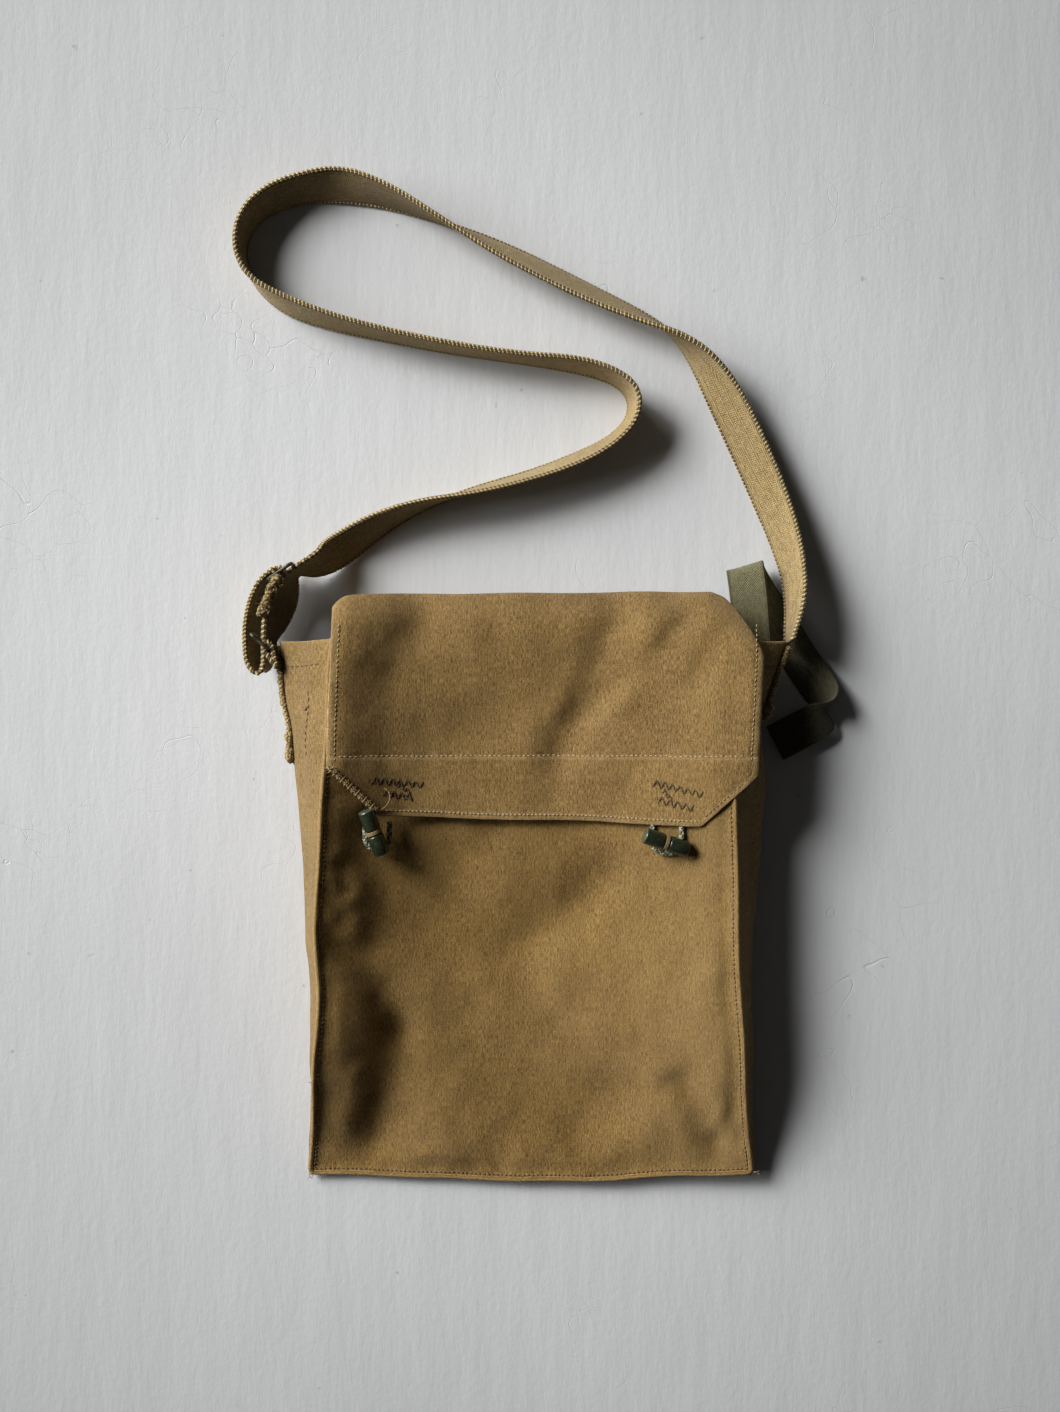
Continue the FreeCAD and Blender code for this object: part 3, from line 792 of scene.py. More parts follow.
def gusset_stitching(side, name, material):
    """The hem stitches below the mouth, and the stitches that hold the webbing outside."""
    bits = Bits()
    hem_share = np.linspace(0.36, 0.97, 70)
    web_y = np.linspace(134, 88, 60)
    for y, share in ((150.5 + 1.2 * np.sin(hem_share * 7), hem_share),
                     (web_y, 0.8 + 0.03 * np.sin(web_y / 9))):
        line = gusset_point(side, y, share, 0.2)
        normal = gusset_point(side, y, share, 1.2) - line
        stitch_3d(bits, line, normal, pitch=4.2, share=0.55, radius=0.36, wear=0.12)
    knot = gusset_point(side, 122.0, 0.81, 0.8)
    for _ in range(8):
        start = knot + random.normal(0, 0.3, 3)
        fibre(bits, start, random.normal(0, 1, 3), 3.5, radius=0.35, curl=2.2, wear=0.0)
    bits.build(f"gusset_stitching_{name}", material, "bag")


def on_flap(x, y):
    return flap_top(x, y) + 0.15


def flap_stitching(material):
    bits = Bits()
    x = np.linspace(-122, 136, 200)
    hem = np.stack([x, HEM_LINE + 0.2 * np.sin(x / 9)], axis=1)
    stitch_row(bits, hem, on_flap, pitch=3.1, share=0.66, radius=0.36, wear=1.0)
    y = np.linspace(176, HEM_LINE - 4, 90)
    for x, wear in ((flap_left(y) + SIDE_STITCH, 0.9), (flap_right(y) - SIDE_STITCH, 0.8)):
        stitch_row(bits, np.stack([x, y], axis=1), on_flap, pitch=3.1, wear=wear)
    x = np.linspace(-96, 105, 180)
    lower = np.stack([x, flap_lower(x) + 3.0], axis=1)
    stitch_row(bits, lower, on_flap, pitch=2.6, share=0.55, radius=0.36, jitter=0.12, wear=1.0)
    for start, end in ((108, 137), (-126, -100)):
        x = np.linspace(start, end, 40)
        stitch_row(bits, np.stack([x, flap_lower(x) + 4.0], axis=1), on_flap, pitch=3.0)
    bits.build("flap_stitching", material, "flap")


def zigzag(bits, start, end, height, teeth):
    """One row of zigzag stitches on the flap, each a little different."""
    (x0, y0), (x1, y1) = start, end
    corners = []
    for i in range(teeth + 1):
        t = i / teeth
        tall = height * uneven(0.22) * (1 if i % 2 else -1) / 2
        corners.append((between(x0, x1, t) + random.uniform(-0.4, 0.4), between(y0, y1, t) + tall))
    t = np.linspace(0, 1, len(ZIGZAG_ARCH))
    for (ax, ay), (bx, by) in zip(corners, corners[1:]):
        x, y = between(ax, bx, t), between(ay, by, t)
        bits.tube(np.stack([x, y, on_flap(x, y) + ZIGZAG_ARCH], axis=1), 0.23, 6)


# rows of zigzag: start, end, height, number of teeth
BARTACKS = {
    "left": [((-102, 77.5), (-70, 74.0), 4.8, 13), ((-95, 69.5), (-77, 66.0), 4.6, 8),
             ((-86, 74.5), (-78, 69.0), 3.8, 4)],
    "right": [((76, 75.5), (107, 68.0), 4.8, 13), ((79, 64.5), (101, 59.5), 4.6, 9),
              ((82, 71.0), (88, 64.0), 3.8, 4)],
}


def bartacks(name, material):
    bits = Bits()
    rows = BARTACKS[name]
    for row in rows:
        for _ in range(3):
            zigzag(bits, *row)
    for _ in range(5):
        start, end, _, _ = rows[int(random.integers(len(rows)))]
        t = random.uniform(0, 1)
        x, y = between(start[0], end[0], t), between(start[1], end[1], t)
        heading = (random.uniform(-1, 1), random.uniform(-1, 1), 0.25)
        fibre(bits, (x, y, on_flap(x, y)), heading, 5, radius=0.25, curl=1.2, wear=0.1)
    bits.build(f"bartack_{name}_stitching", material, "flap", [f"bartack_{name}"])


def corner_twine(material):
    """Tan twine whipped along the flap's left cut corner, with a knot and a curled end."""
    bits = Bits()
    x = np.linspace(-126.0, CORNER_LEFT - 1, 26)
    y = flap_lower(x) + 1.4
    line = np.stack([x, y, flap_top(x, y) + 0.9], axis=1)
    bits.tube(line, 0.75, 8, 0.8)
    bits.tube(line + [0.9, 1.1, 0.1], 0.55, 8, 0.6)
    wrap = np.array([(-1.2, -1.6, -1.0), (-0.2, -0.4, 0.6), (1.2, 1.3, 0.3), (1.9, 2.1, -0.6)])
    for place in line[::2]:
        bits.tube(rail(place + wrap, 5), 0.4, 6, 0.7)
    for _ in range(16):
        start = line[0] + random.normal(0, 0.9, 3)
        fibre(bits, start, random.normal(0, 1, 3), 6, radius=0.3, curl=2.0, wear=1.0)
    curl = [(-98.5, 57, 0), (-93, 60, 2.0), (-90, 66, 2.5), (-91.5, 71, 1.5), (-94, 72, 0.5)]
    bits.tube(rail([(x, y, flap_top(x, y) + 0.5 + z) for x, y, z in curl], 10), 0.4, 6, 0.8)
    bits.build("corner_twine", material, "flap")


# --- toggles and their cords ---

CORD_ROUTES = {
    "left": [(-106, 50.6, 43.2), (-106.4, 44, 42.0), (-106, 36.8, 41.4), (-101, 33.0, 39),
             (-95, 33.8, 36), (-91.3, 38.5, 34), (-91.5, 44, 34), (-91.5, 50.6, 35.4)],
    "right": [(76, 50.6, 37), (75.6, 44, 37), (75.4, 35.6, 37), (80, 31.2, 37.6),
              (88, 30.6, 39), (93.6, 33.8, 40.6), (94.4, 41, 41), (94, 50.6, 41.4)],
}


def cord_loop(name, material):
    """A round braid: two sets of strands wound round a core in opposite directions."""
    bits = Bits()
    path = resample(rail(CORD_ROUTES[name], 16), 0.6)
    side, up = directions_across(path)
    radius, strands, turn = CORD / 2, 4, 11.0
    bits.tube(path, radius * 0.62, 8, 0.2)
    for hand in (-1, 1):
        for k in range(strands):
            a = 2 * math.pi * (k / strands + hand * lengths(path) / turn) + 0.3 * hand
            lift = radius * (0.66 + 0.09 * np.cos(strands * a + k * math.pi))
            pale = float((k + (hand > 0)) % 2)
            bits.tube(wound_line(path, side, up, a, lift), radius * 0.36, 6, pale)
    piece = bits.build(f"cord_{name}", material, "flap", [f"cord_loop_{name}"])


TOGGLE_LENGTH = 30.0
TOGGLE_RADIUS = 5.2
TOGGLE_DROP = 6.0             # the toggles sink with the sagging front
TOGGLE_ANGLES = {"left": -70.0, "right": -19.0}
TOGGLE_TILT = 11.0            # the upper end's lift, in degrees
TWINE_RADIUS = 0.62
WAIST_TURNS, WAIST_HALF, WAIST_RADIUS = 3, 1.05, 4.45


def toggle_axes(name):
    """A toggle's middle and three directions: along it, across it, and off its top."""
    low, high = box_mm(f"toggle_twine_{name}")
    centre = (low + high) / 2 - [0, 0, TOGGLE_DROP]
    turn, tilt = math.radians(TOGGLE_ANGLES[name]), math.radians(TOGGLE_TILT)
    along = np.array([math.cos(turn) * math.cos(tilt), math.sin(turn) * math.cos(tilt),
                      -math.sin(tilt)])
    side = np.array([-math.sin(turn), math.cos(turn), 0])
    return centre, along, side, np.cross(along, side)


def dowel(name, material):
    """A turned dowel with softened ends and a groove round its waist."""
    centre, along, side, up = toggle_axes(name)
    half, r, sides = TOGGLE_LENGTH / 2, TOGGLE_RADIUS, 40
    outline = [(half, r * 0.3), (half, r * 0.84), (half - 0.35, r * 0.95), (half - 1.1, r),
               (half - 6, r * 1.01), (2.9, r), (2.2, r * 0.96), (1.8, r * 0.86), (1.7, r * 0.76)]
    outline = [(-a, b) for a, b in outline] + outline[::-1]
    points, marks = [], []
    for a, b in outline:
        rubbed = max(0.0, 1 - (half - abs(a)) / 1.0)
        for k in range(sides):
            turn = 2 * math.pi * k / sides
            points.append(centre + along * a + b * (side * math.cos(turn) + up * math.sin(turn)))
            marks.append((k / sides * 33, a, rubbed))
    bits = Bits()
    bits.add(points, closed_sleeve(len(outline), sides), marks)
    bits.build(f"dowel_{name}", material, f"toggle_{name}", [f"toggle_{name}"])


def wound_twine(name, material):
    """The turns of twine in a toggle's waist, and the tie down to the front panel."""
    centre, along, side, up = toggle_axes(name)
    share = np.linspace(0, 1, 24 * WAIST_TURNS)
    path = centre + along * between(-WAIST_HALF, WAIST_HALF, share)[:, None]
    path = wound_line(path, side, up, share * WAIST_TURNS * 2 * math.pi, WAIST_RADIUS)
    bits = Bits()
    bits.tube(path, TWINE_RADIUS, 8, 0.3)
    bits.build(f"waist_twine_{name}", material, f"toggle_{name}",
               [f"toggle_twine_{name}"])
    rise = np.linspace(front_top(centre[0], centre[1]) - 1.0, centre[2] - 4.2, 24)
    bits = Bits()
    for k in range(2):
        a = rise * 1.1 + math.pi * k
        x, y = centre[0] + TWINE_RADIUS * np.cos(a), centre[1] + TWINE_RADIUS * np.sin(a)
        bits.tube(np.stack([x, y, rise], axis=1), 0.72, 7, 0.4)
    bits.build(f"tie_{name}", material, "bag", [f"toggle_stem_{name}"])


# --- webbing ---

def web_section(width, thick, bead):
    """Points round a webbing strip's section, thicker near its edges: (across, off the face)."""
    half, t = width / 2, thick / 2
    face = np.linspace(-half + 1.2, half - 1.2, 15)
    height = t * (1 + bead * np.exp(-((half - abs(face)) / 1.6) ** 2))
    edge = [(half - 0.3, t * 0.85), (half, 0.0), (half - 0.3, -t * 0.85)]
    return ([*zip(face, height)] + edge + [*zip(face[::-1], -height)]
            + [(-a, -b) for a, b in edge])


def web_strip(bits, upper, lower, width, thick, bead=0.15, wave=0.0, painted_shade=((0, 0), (1, 0))):
    """A webbing strip between two edge lines; returns its middle line and its directions.

    Its knots of painted shade say how dark the strip is painted at distances along it, where it
    lies in shade.
    """
    joined = np.concatenate([(upper + lower) / 2, unit(upper - lower)], axis=1)
    joined = resample(joined, 1.6)
    middle, across = joined[:, :3], unit(joined[:, 3:])
    tangent = unit(np.gradient(middle, axis=0))
    across = unit(across - tangent * (across * tangent).sum(axis=1, keepdims=True))
    out = np.cross(across, tangent)
    run = lengths(middle)
    dark = curve_at(run, painted_shade)
    section = web_section(width, thick, bead)
    points, marks = [], []
    for i in range(len(middle)):
        for a, b in section:
            cup = wave * math.sin(run[i] / 23.0 + a * 0.12)
            points.append(middle[i] + across[i] * a + out[i] * (b + cup))
            # painted shade: the knots darken stretches in shade, and the band along each edge is
            # darkened as the shade in the gaps between the selvedge beads
            at_edge = 0.9 * max(0.0, min(1.0, abs(a) - width / 2 + 1.8))
            marks.append((a, run[i], -max(dark[i], at_edge)))
    bits.add(points, closed_sleeve(len(middle), len(section)), marks)
    return middle, across, out


def selvedge(bits, middle, across, out, half, pitch=1.35):
    """The twisted edge of webbing: slanting beads, alternately light and dark, along each edge."""
    run = lengths(middle)
    for hand in (1, -1):
        s, light = pitch / 2, True
        while s < run[-1] - pitch / 2:
            centre, edge, face = (at_run(table, run, s) for table in (middle, across, out))
            ahead = unit(at_run(middle, run, min(s + 1, run[-1])) - centre)
            size = uneven(0.12)
            tip = centre + edge * hand * (half + 0.1)
            slant = ahead * 0.8 * size
            bead = [(-1.0, 1.15, -0.8), (-0.5, 0.6, 0.2), (0.5, -0.6, 0.2), (1.0, -1.15, -0.8)]
            points = [tip + slant * a + face * b + edge * hand * c for a, b, c in bead]
            wear = random.uniform(0.6, 1.0) if light else random.uniform(-0.9, -0.6)
            bits.tube(points, (0.85 if light else 0.7) * size, 6, wear)
            s, light = s + pitch, not light


def standing_edges(stations, width):
    """The edge control points of a strip that stands on its edge."""
    upper, lower = [], []
    for i, (x, y, lean, lift) in enumerate(stations):
        before, after = stations[max(i - 1, 0)], stations[min(i + 1, len(stations) - 1)]
        along = unit(np.array([after[0] - before[0], after[1] - before[1]]))
        tilt = math.radians(lean)
        across = np.array([-along[1] * math.sin(tilt), along[0] * math.sin(tilt), math.cos(tilt)])
        height = lift + width / 2 * math.cos(tilt) + WEB / 2 * abs(math.sin(tilt))
        centre = np.array([x, y, height])
        upper.append(centre + across * width / 2)
        lower.append(centre - across * width / 2)
    return upper, lower


# x, y, lean of the upper edge to the left of the way along, lift of the lower edge; the
# first stations are the strap's sewn end at the slider, its way down round the ring and back
STRAP_STATIONS = [
    (-163.2, 212.7, 0, 10.0), (-171.5, 205.8, -8, 10.0), (-176.5, 192.5, -18, 8.0),
    (-179.5, 177.0, -20, 7.0), (-180.0, 163.0, -18, 7.0), (-179.6, 151.0, -14, 8.0),
    (-174.6, 145.0, -8, 9.0), (-170.4, 150.0, 4, 9.0), (-170.6, 162.0, 4, 9.0),
    (-168.6, 173.0, 16, 8.0), (-164.6, 184.0, 34, 6.0), (-160.6, 195.0, 36, 6.0),
    (-158.4, 206.0, 8, 9.0), (-150.6, 212.0, 4, 9.6), (-144.5, 215.2, 12, 7.0),
    (-136.0, 218.5, 34, 2.5), (-126.0, 224.5, 44, 0.4), (-104.0, 240.0, 29, 0.4),
    (-75.0, 254.0, 8, 0.4), (-36.0, 264.0, -14, 0.4), (0.0, 273.5, -16, 0.4),
    (30.0, 284.5, -19, 0.4), (52.0, 296.0, -15, 0.4), (65.0, 310.0, -13, 0.4),
    (66.0, 326.0, -13, 0.4), (54.0, 337.5, -10, 0.4), (30.0, 345.0, -12, 0.4),
    (-10.0, 349.5, -2, 0.4), (-55.0, 356.0, -4, 0.4), (-99.0, 365.0, -6, 0.4),
    (-133.0, 373.5, -12, 0.4), (-162.0, 384.0, -15, 0.4), (-183.0, 399.5, 2, 0.4),
    (-191.0, 420.0, 7, 0.4), (-185.0, 440.5, 15, 0.4), (-169.0, 453.0, 26, 0.4),
    (-148.0, 460.0, 30, 0.4), (-125.0, 462.5, 42, 0.4), (-97.0, 456.0, 22, 0.4),
    (-60.0, 439.0, -6, 0.4), (-17.0, 418.0, -31, 0.4), (37.0, 391.0, -31, 0.4),
    (77.0, 373.0, -20, 0.4), (95.0, 362.5, 2, 0.4), (111.0, 346.5, 28, 0.4),
    (124.0, 325.0, 49, 0.4), (137.0, 298.0, 52, 0.4), (152.0, 264.0, 50, 0.4),
    (163.0, 234.0, 38, 1.0), (168.5, 210.0, 26, 4.0), (169.0, 190.0, 18, 8.0),
    (165.6, 172.0, 6, 9.5), (164.6, 165.0, 0, 10.0),
]
# painted shade along the strap, as (distance along it, how dark): it darkens the return leg round
# the ring, the stretch past the slider and the inner face of the top loop, which lie in shade
STRAP_PAINTED_SHADE = [(0, 0), (45, 0.05), (70, 0.3), (92, 0.6), (125, 0.6), (150, 0.15), (200, 0.35),
              (250, 0), (710, 0), (750, 0.2), (790, 0.5), (835, 0.35), (875, 0)]
# the tape's middle, and the direction from its lower edge to its upper one
SIDE_LOOP_STATIONS = [
    ((142.5, 161.5, 11.5), (0.99, 0.0, 0.0)), ((141.5, 170.5, 13.0), (0.99, 0.02, 0.0)),
    ((140.3, 185.0, 17.0), (0.98, 0.12, 0.0)), ((138.5, 201.0, 18.0), (0.97, 0.2, 0.0)),
    ((136.8, 215.0, 15.5), (0.957, 0.29, 0.0)), ((137.4, 214.0, 8.5), (0.957, 0.29, 0.0)),
    ((140.6, 207.0, 4.0), (0.91, 0.4, 0.0)), ((150.5, 191.0, 2.4), (0.87, 0.48, 0.0)),
    ((165.5, 168.0, 2.2), (0.845, 0.535, 0.0)), ((180.5, 145.0, 2.0), (0.845, 0.535, 0.0)),
    ((189.5, 131.5, 5.6), (0.62, 0.62, 0.42)), ((192.5, 123.0, 11.0), (0.16, 0.69, 0.7)),
    ((187.5, 116.5, 12.6), (-0.42, 0.84, 0.3)), ((173.0, 108.0, 7.6), (-0.517, 0.848, 0.0)),
    ((157.0, 100.0, 7.6), (-0.517, 0.848, 0.0)),
]
# painted shade along the tape, as (distance along it, how dark): it deepens down the lower leg,
# which lies in the bag's shadow
SIDE_LOOP_PAINTED_SHADE = [(0, 0), (50, 0), (62, 0.35), (95, 0.6), (125, 0.7), (150, 0.85), (220, 0.95)]


def shoulder_strap(material):
    """One length of webbing, from the slider round the ring and back, then to the right side."""
    upper, lower = standing_edges(STRAP_STATIONS, STRAP_WIDTH)
    bits = Bits()
    strip = web_strip(bits, rail(upper), rail(lower), STRAP_WIDTH - 0.8, WEB, wave=0.25,
                      painted_shade=STRAP_PAINTED_SHADE)
    selvedge(bits, *strip, STRAP_WIDTH / 2 - 0.6)
    piece = bits.build("strap", material, None, ["shoulder_strap", "strap_return"])
    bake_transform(piece)


def side_loop(material):
    middle = np.array([place for place, _ in SIDE_LOOP_STATIONS])
    half = unit(np.array([across for _, across in SIDE_LOOP_STATIONS])) * TAPE_WIDTH / 2
    bits = Bits()
    path = web_strip(bits, rail(middle + half, 10), rail(middle - half, 10), TAPE_WIDTH - 0.3,
                     TAPE, bead=0.3, painted_shade=SIDE_LOOP_PAINTED_SHADE)[0]
    piece = bits.build("side_tape", material, "bag", ["side_loop"])


def rope(bits, line, radius, strands, pitch, wear, rough):
    """Thick strands laid up round a line, like a twisted or rolled edge.

    The pitch is the length of one turn, and rough is how uneven the strands are.
    """
    line = resample(np.array(line, float), 0.7)
    side, up = directions_across(line, (0.02, 0.01, 1))
    run = lengths(line)
    for k in range(strands):
        a = 2 * math.pi * (k / strands + run / pitch)
        out = radius * 0.5 * (1 + rough * value_noise(run, 7 * k, 4, 91 + k))
        size = radius * 0.55 * (1 + rough * 0.7 * value_noise(run, 9 * k, 3, 95 + k))
        bits.tube(wound_line(line, side, up, a, out), size, 7, wear * (0.55 + 0.45 * (k % 2)))


def sewn_web(name, side, y_range, node, material):
    """Webbing sewn down the outside of a gusset, with a corded edge and a raw lower end."""
    rows, cols = 60, 14
    low, high = 0.1, 0.5      # shares of the gusset's height that the webbing covers
    v, u = shares(rows, cols)
    y, share = between(*y_range, v), between(low, high, u)
    surface = gusset_point(side, y, share, 0.3 + WEB * 0.8)
    across = (share - (low + high) / 2) * GUSSET_GIRTH
    wear = -0.7 * np.exp(-np.minimum(share - low, high - share) * 60)
    bits = Bits()
    bits.grid(surface, WEB * 0.8, across, y, wear, side == RIGHT)
    for col in (0, cols - 1):
        for lift, radius, wear in ((0, 2.0, -0.5), (0.3, 1.8, 0.15)):
            rope(bits, surface[:, col] + [0, 0, lift], radius, 2, 4.6, wear, rough=0.6)
    low_end = surface[: rows // 4, cols - 1]
    rope(bits, low_end + [side * 0.6, -1.5, 0.8], 2.6, 3, 6.0, wear=-0.3, rough=0.9)
    for k in range(14):
        start = surface[0, k % cols] + [0, 0, random.uniform(-0.5, 0.5)]
        fibre(bits, start, (0.2 * side, -1, 0.2), random.uniform(2.5, 6.0), radius=0.75,
              curl=1.9, steps=8, wear=0.8)
    for _ in range(24):
        start = surface[int(random.integers(rows)), cols - 1]
        heading = random.normal(0, 1, 3) + [side, 0, 0.4]
        fibre(bits, start, heading, random.uniform(1.5, 3.5), curl=1.4, steps=6, wear=0.9)
    bits.build(name, material, "bag", [node])


KEEPER_ROUTE = [(-163.5, 150), (-168.0, 155), (-171.6, 160), (-170.8, 164.4), (-167.2, 164.6),
                (-165.6, 160), (-164.6, 154), (-163.0, 148)]
SLIDER_WRAP_ROUTE = [(-165.6, 209.0), (-163.4, 211.4), (-160.0, 212.3), (-158.4, 209.8),
                     (-159.6, 207.2), (-161.8, 206.6)]


def hairpin(name, route, height, body, node, material, thick=1.8):
    """A strip of webbing bent tightly round an upright bar."""
    low, high = box_mm(node)
    middle = (low[2] + high[2]) / 2
    upper, lower = (rail([(x, y, middle + off) for x, y in route], 10)
                    for off in (height / 2, -height / 2))
    bits = Bits()
    strip = web_strip(bits, upper, lower, height, thick)
    selvedge(bits, *strip, height / 2 - 0.2, pitch=1.8)
    bits.build(name, material, body, [node])


def frayed_end(material):
    """The strap's cut end below the slider, rolled, sewn down and fraying."""
    bits = Bits()
    roll = rail([(-161, 207, 39.4), (-166, 200, 40.0), (-168.5, 193, 40.4), (-171.5, 187, 40),
                 (-173.5, 182, 39)], 8)
    rope(bits, roll, 2.9, 3, 9.0, wear=-0.45, rough=0.9)
    rope(bits, roll + [2.6, -1.5, -1.2], 2.0, 2, 7.0, wear=-0.6, rough=0.9)
    for _ in range(70):
        start = roll[int(random.integers(len(roll)))] + random.normal(0, 1.3, 3)
        heading = random.normal(0, 1, 3) + [0, 0, 0.3]
        fibre(bits, start, heading, random.uniform(3, 7.5), radius=0.36, curl=2.4, steps=8,
              wear=random.uniform(-0.7, 0.4))
    bits.build("strap_fraying", material, "slider")


# --- materials ---

class Shader:
    """A short way to write a node material."""

    def __init__(self, name):
        self.material = bpy.data.materials.new(name)
        self.material.use_nodes = True
        self.tree = self.material.node_tree
        self.tree.nodes.clear()

    def node(self, kind, inputs=None, **settings):
        made = self.tree.nodes.new(kind)
        for key, value in settings.items():
            setattr(made, key, value)
        for key, value in (inputs or {}).items():
            if isinstance(value, bpy.types.NodeSocket):
                self.tree.links.new(value, made.inputs[key])
            else:
                made.inputs[key].default_value = value
        return made

    def math(self, operation, a, b=0.0):
        return self.node("ShaderNodeMath", {0: a, 1: b}, operation=operation).outputs[0]

    def add(self, first, *others):
        for other in others:
            first = self.math("ADD", first, other)
        return first

    def times(self, a, b):
        return self.math("MULTIPLY", a, b)

    def marks(self):
        vector = self.node("ShaderNodeAttribute", attribute_name="weave").outputs["Vector"]
        return self.node("ShaderNodeSeparateXYZ", {0: vector}).outputs

    def in_object(self):
        return self.node("ShaderNodeTexCoord").outputs["Object"]

    def place(self, x, y):
        return self.node("ShaderNodeCombineXYZ", {0: x, 1: y}).outputs[0]

    def turned(self, vector, scale, angle):
        return self.node("ShaderNodeMapping", {"Vector": vector, "Scale": scale,
                                               "Rotation": (0, 0, angle)}).outputs[0]

    def noise(self, vector, scale, detail=2.0, roughness=0.5):
        return self.node("ShaderNodeTexNoise", {"Vector": vector, "Scale": scale, "Detail": detail,
                                                "Roughness": roughness}).outputs["Fac"]

    def mix(self, share, a, b):
        made = self.node("ShaderNodeMix", {0: share}, data_type="RGBA")
        for slot, value in ((6, a), (7, b)):
            if isinstance(value, bpy.types.NodeSocket):
                self.tree.links.new(value, made.inputs[slot])
            else:
                made.inputs[slot].default_value = (*value, 1.0)
        return made.outputs[2]

    def span(self, value, low, high, out_low=0.0, out_high=1.0):
        return self.node("ShaderNodeMapRange", {0: value, 1: low, 2: high, 3: out_low,
                                                4: out_high}).outputs[0]

    def about(self, noise, reach):
        """A noise spread from -reach to reach."""
        return self.span(noise, 0.3, 0.7, -reach, reach)

    def wave(self, value, period):
        return self.math("SINE", self.times(value, 2 * math.pi / period))

    def finish(self, colour, roughness, height, distance, strength=1.0, **constants):
        bump = self.node("ShaderNodeBump", {"Height": height, "Distance": distance,
                                            "Strength": strength})
        shader = self.node("ShaderNodeBsdfPrincipled", {
            "Base Color": colour, "Roughness": roughness, "Normal": bump.outputs[0], **constants})
        self.node("ShaderNodeOutputMaterial", {0: shader.outputs[0]})
        return self.material


def darker(colour, share):
    return tuple(c * share for c in colour)


def canvas_material(name, light, dark, faded):
    """Plain weave with uneven yarns, nubs, slubs and faint stains, faded where it is worn and where
    painted light pales it.
    """
    s = Shader(name)
    u, v, wear = s.marks()
    place = s.place(u, v)
    warp = s.noise(s.place(s.times(u, 1.6), s.times(v, 0.32)), 1.0, 3.0, 0.6)
    weft = s.noise(s.place(s.times(u, 0.8), s.times(v, 1.7)), 1.0, 3.0, 0.6)
    grain = s.noise(place, 1.7, 2.0, 0.7)
    blotch = s.noise(place, 0.017, 4.0, 0.62)
    stain = s.noise(s.place(s.add(u, 313.0), v), 0.045, 3.0, 0.6)
    slub = s.noise(s.place(s.times(u, 0.75), s.times(v, 0.07)), 1.0, 2.0, 0.6)
    nub = s.noise(place, 0.5, 2.0, 0.6)
    yarns = s.times(s.wave(u, 0.74), s.wave(v, 0.7))
    tone = s.add(s.span(warp, 0.25, 0.75, -0.75, 0.75), s.span(weft, 0.25, 0.75, -0.35, 0.35),
                 s.about(slub, 0.2), s.about(nub, 0.05), s.about(grain, 0.45),
                 s.times(yarns, 0.32), s.about(blotch, 0.2))
    colour = s.mix(s.span(tone, -0.78, 0.78), dark, light)
    colour = s.mix(s.span(stain, 0.62, 0.8, 0.0, 0.3), colour, darker(dark, 0.62))
    # fade towards the pale colour with the wear mark: real wear, and on the front panel's right
    # part painted light
    fade = s.times(wear, s.span(grain, 0.3, 0.6, 0.35, 1.0))
    colour = s.mix(s.math("MINIMUM", fade, 0.85), colour, faded)
    height = s.add(s.times(yarns, 0.35), warp, s.times(weft, 0.8), s.times(grain, 0.9),
                   s.times(slub, 0.6), s.times(nub, 0.12))
    return s.finish(colour, s.span(grain, 0.2, 0.8, 0.82, 0.96), height, 0.0008, 1.0,
                    **{"Sheen Weight": 0.12, "Sheen Roughness": 0.5, "Specular IOR Level": 0.2})


def web_material(name, light, dark, faded, ribs, period):
    """Herringbone webbing with lengthwise ribs near its edges."""
    s = Shader(name)
    u, v, wear = s.marks()
    fold = s.math("PINGPONG", s.add(u, 100.0), period)
    twill = s.wave(s.add(v, s.times(fold, 0.9)), 1.5)
    edge = s.span(s.math("ABSOLUTE", u), ribs, ribs + 1.0)
    pattern = s.add(s.times(twill, s.math("SUBTRACT", 1.0, edge)), s.times(s.wave(u, 1.35), edge))
    place = s.place(u, s.times(v, 0.4))
    grain = s.noise(place, 1.3, 2.0, 0.7)
    blotch = s.noise(place, 0.03, 3.0, 0.6)
    nub = s.noise(place, 0.45, 2.0, 0.6)
    tone = s.add(s.times(pattern, 0.5), s.about(grain, 0.6), s.about(blotch, 0.2),
                 s.about(nub, 0.3))
    colour = s.mix(s.span(tone, -0.8, 0.8), dark, light)
    fade = s.times(s.math("MAXIMUM", wear, 0.0), s.span(grain, 0.3, 0.6, 0.3, 0.9))
    colour = s.mix(fade, colour, faded)
    # negative wear darkens the webbing towards black: painted shade on shaded stretches and in the
    # gaps at the edges, and darker ropes, beads and fibres
    colour = s.mix(s.span(wear, -1.0, 0.0, 0.85, 0.0), colour, darker(dark, 0.2))
    height = s.add(s.times(pattern, 0.6), grain)
    return s.finish(colour, s.span(grain, 0.2, 0.8, 0.8, 0.95), height, 0.0004, 0.8,
                    **{"Sheen Weight": 0.15, "Sheen Roughness": 0.5, "Specular IOR Level": 0.2})


def thread_material(name, dark, light):
    """Twisted thread, lighter where it is marked as worn."""
    s = Shader(name)
    u, v, wear = s.marks()
    twist = 2.2
    ply = s.wave(s.add(v, s.times(u, twist)), twist)
    grain = s.noise(s.place(s.times(u, 4.0), v), 1.6, 2.0, 0.6)
    shade = s.add(s.span(ply, -1.0, 1.0, -0.12, 0.12), s.span(grain, 0.2, 0.8, -0.15, 0.15))
    colour = s.mix(s.add(0.28, shade), s.mix(wear, dark, light), darker(dark, 0.35))
    return s.finish(colour, s.span(grain, 0.2, 0.8, 0.6, 0.85), s.add(ply, grain), 0.0002, 0.6,
                    **{"Sheen Weight": 0.1, "Specular IOR Level": 0.3})


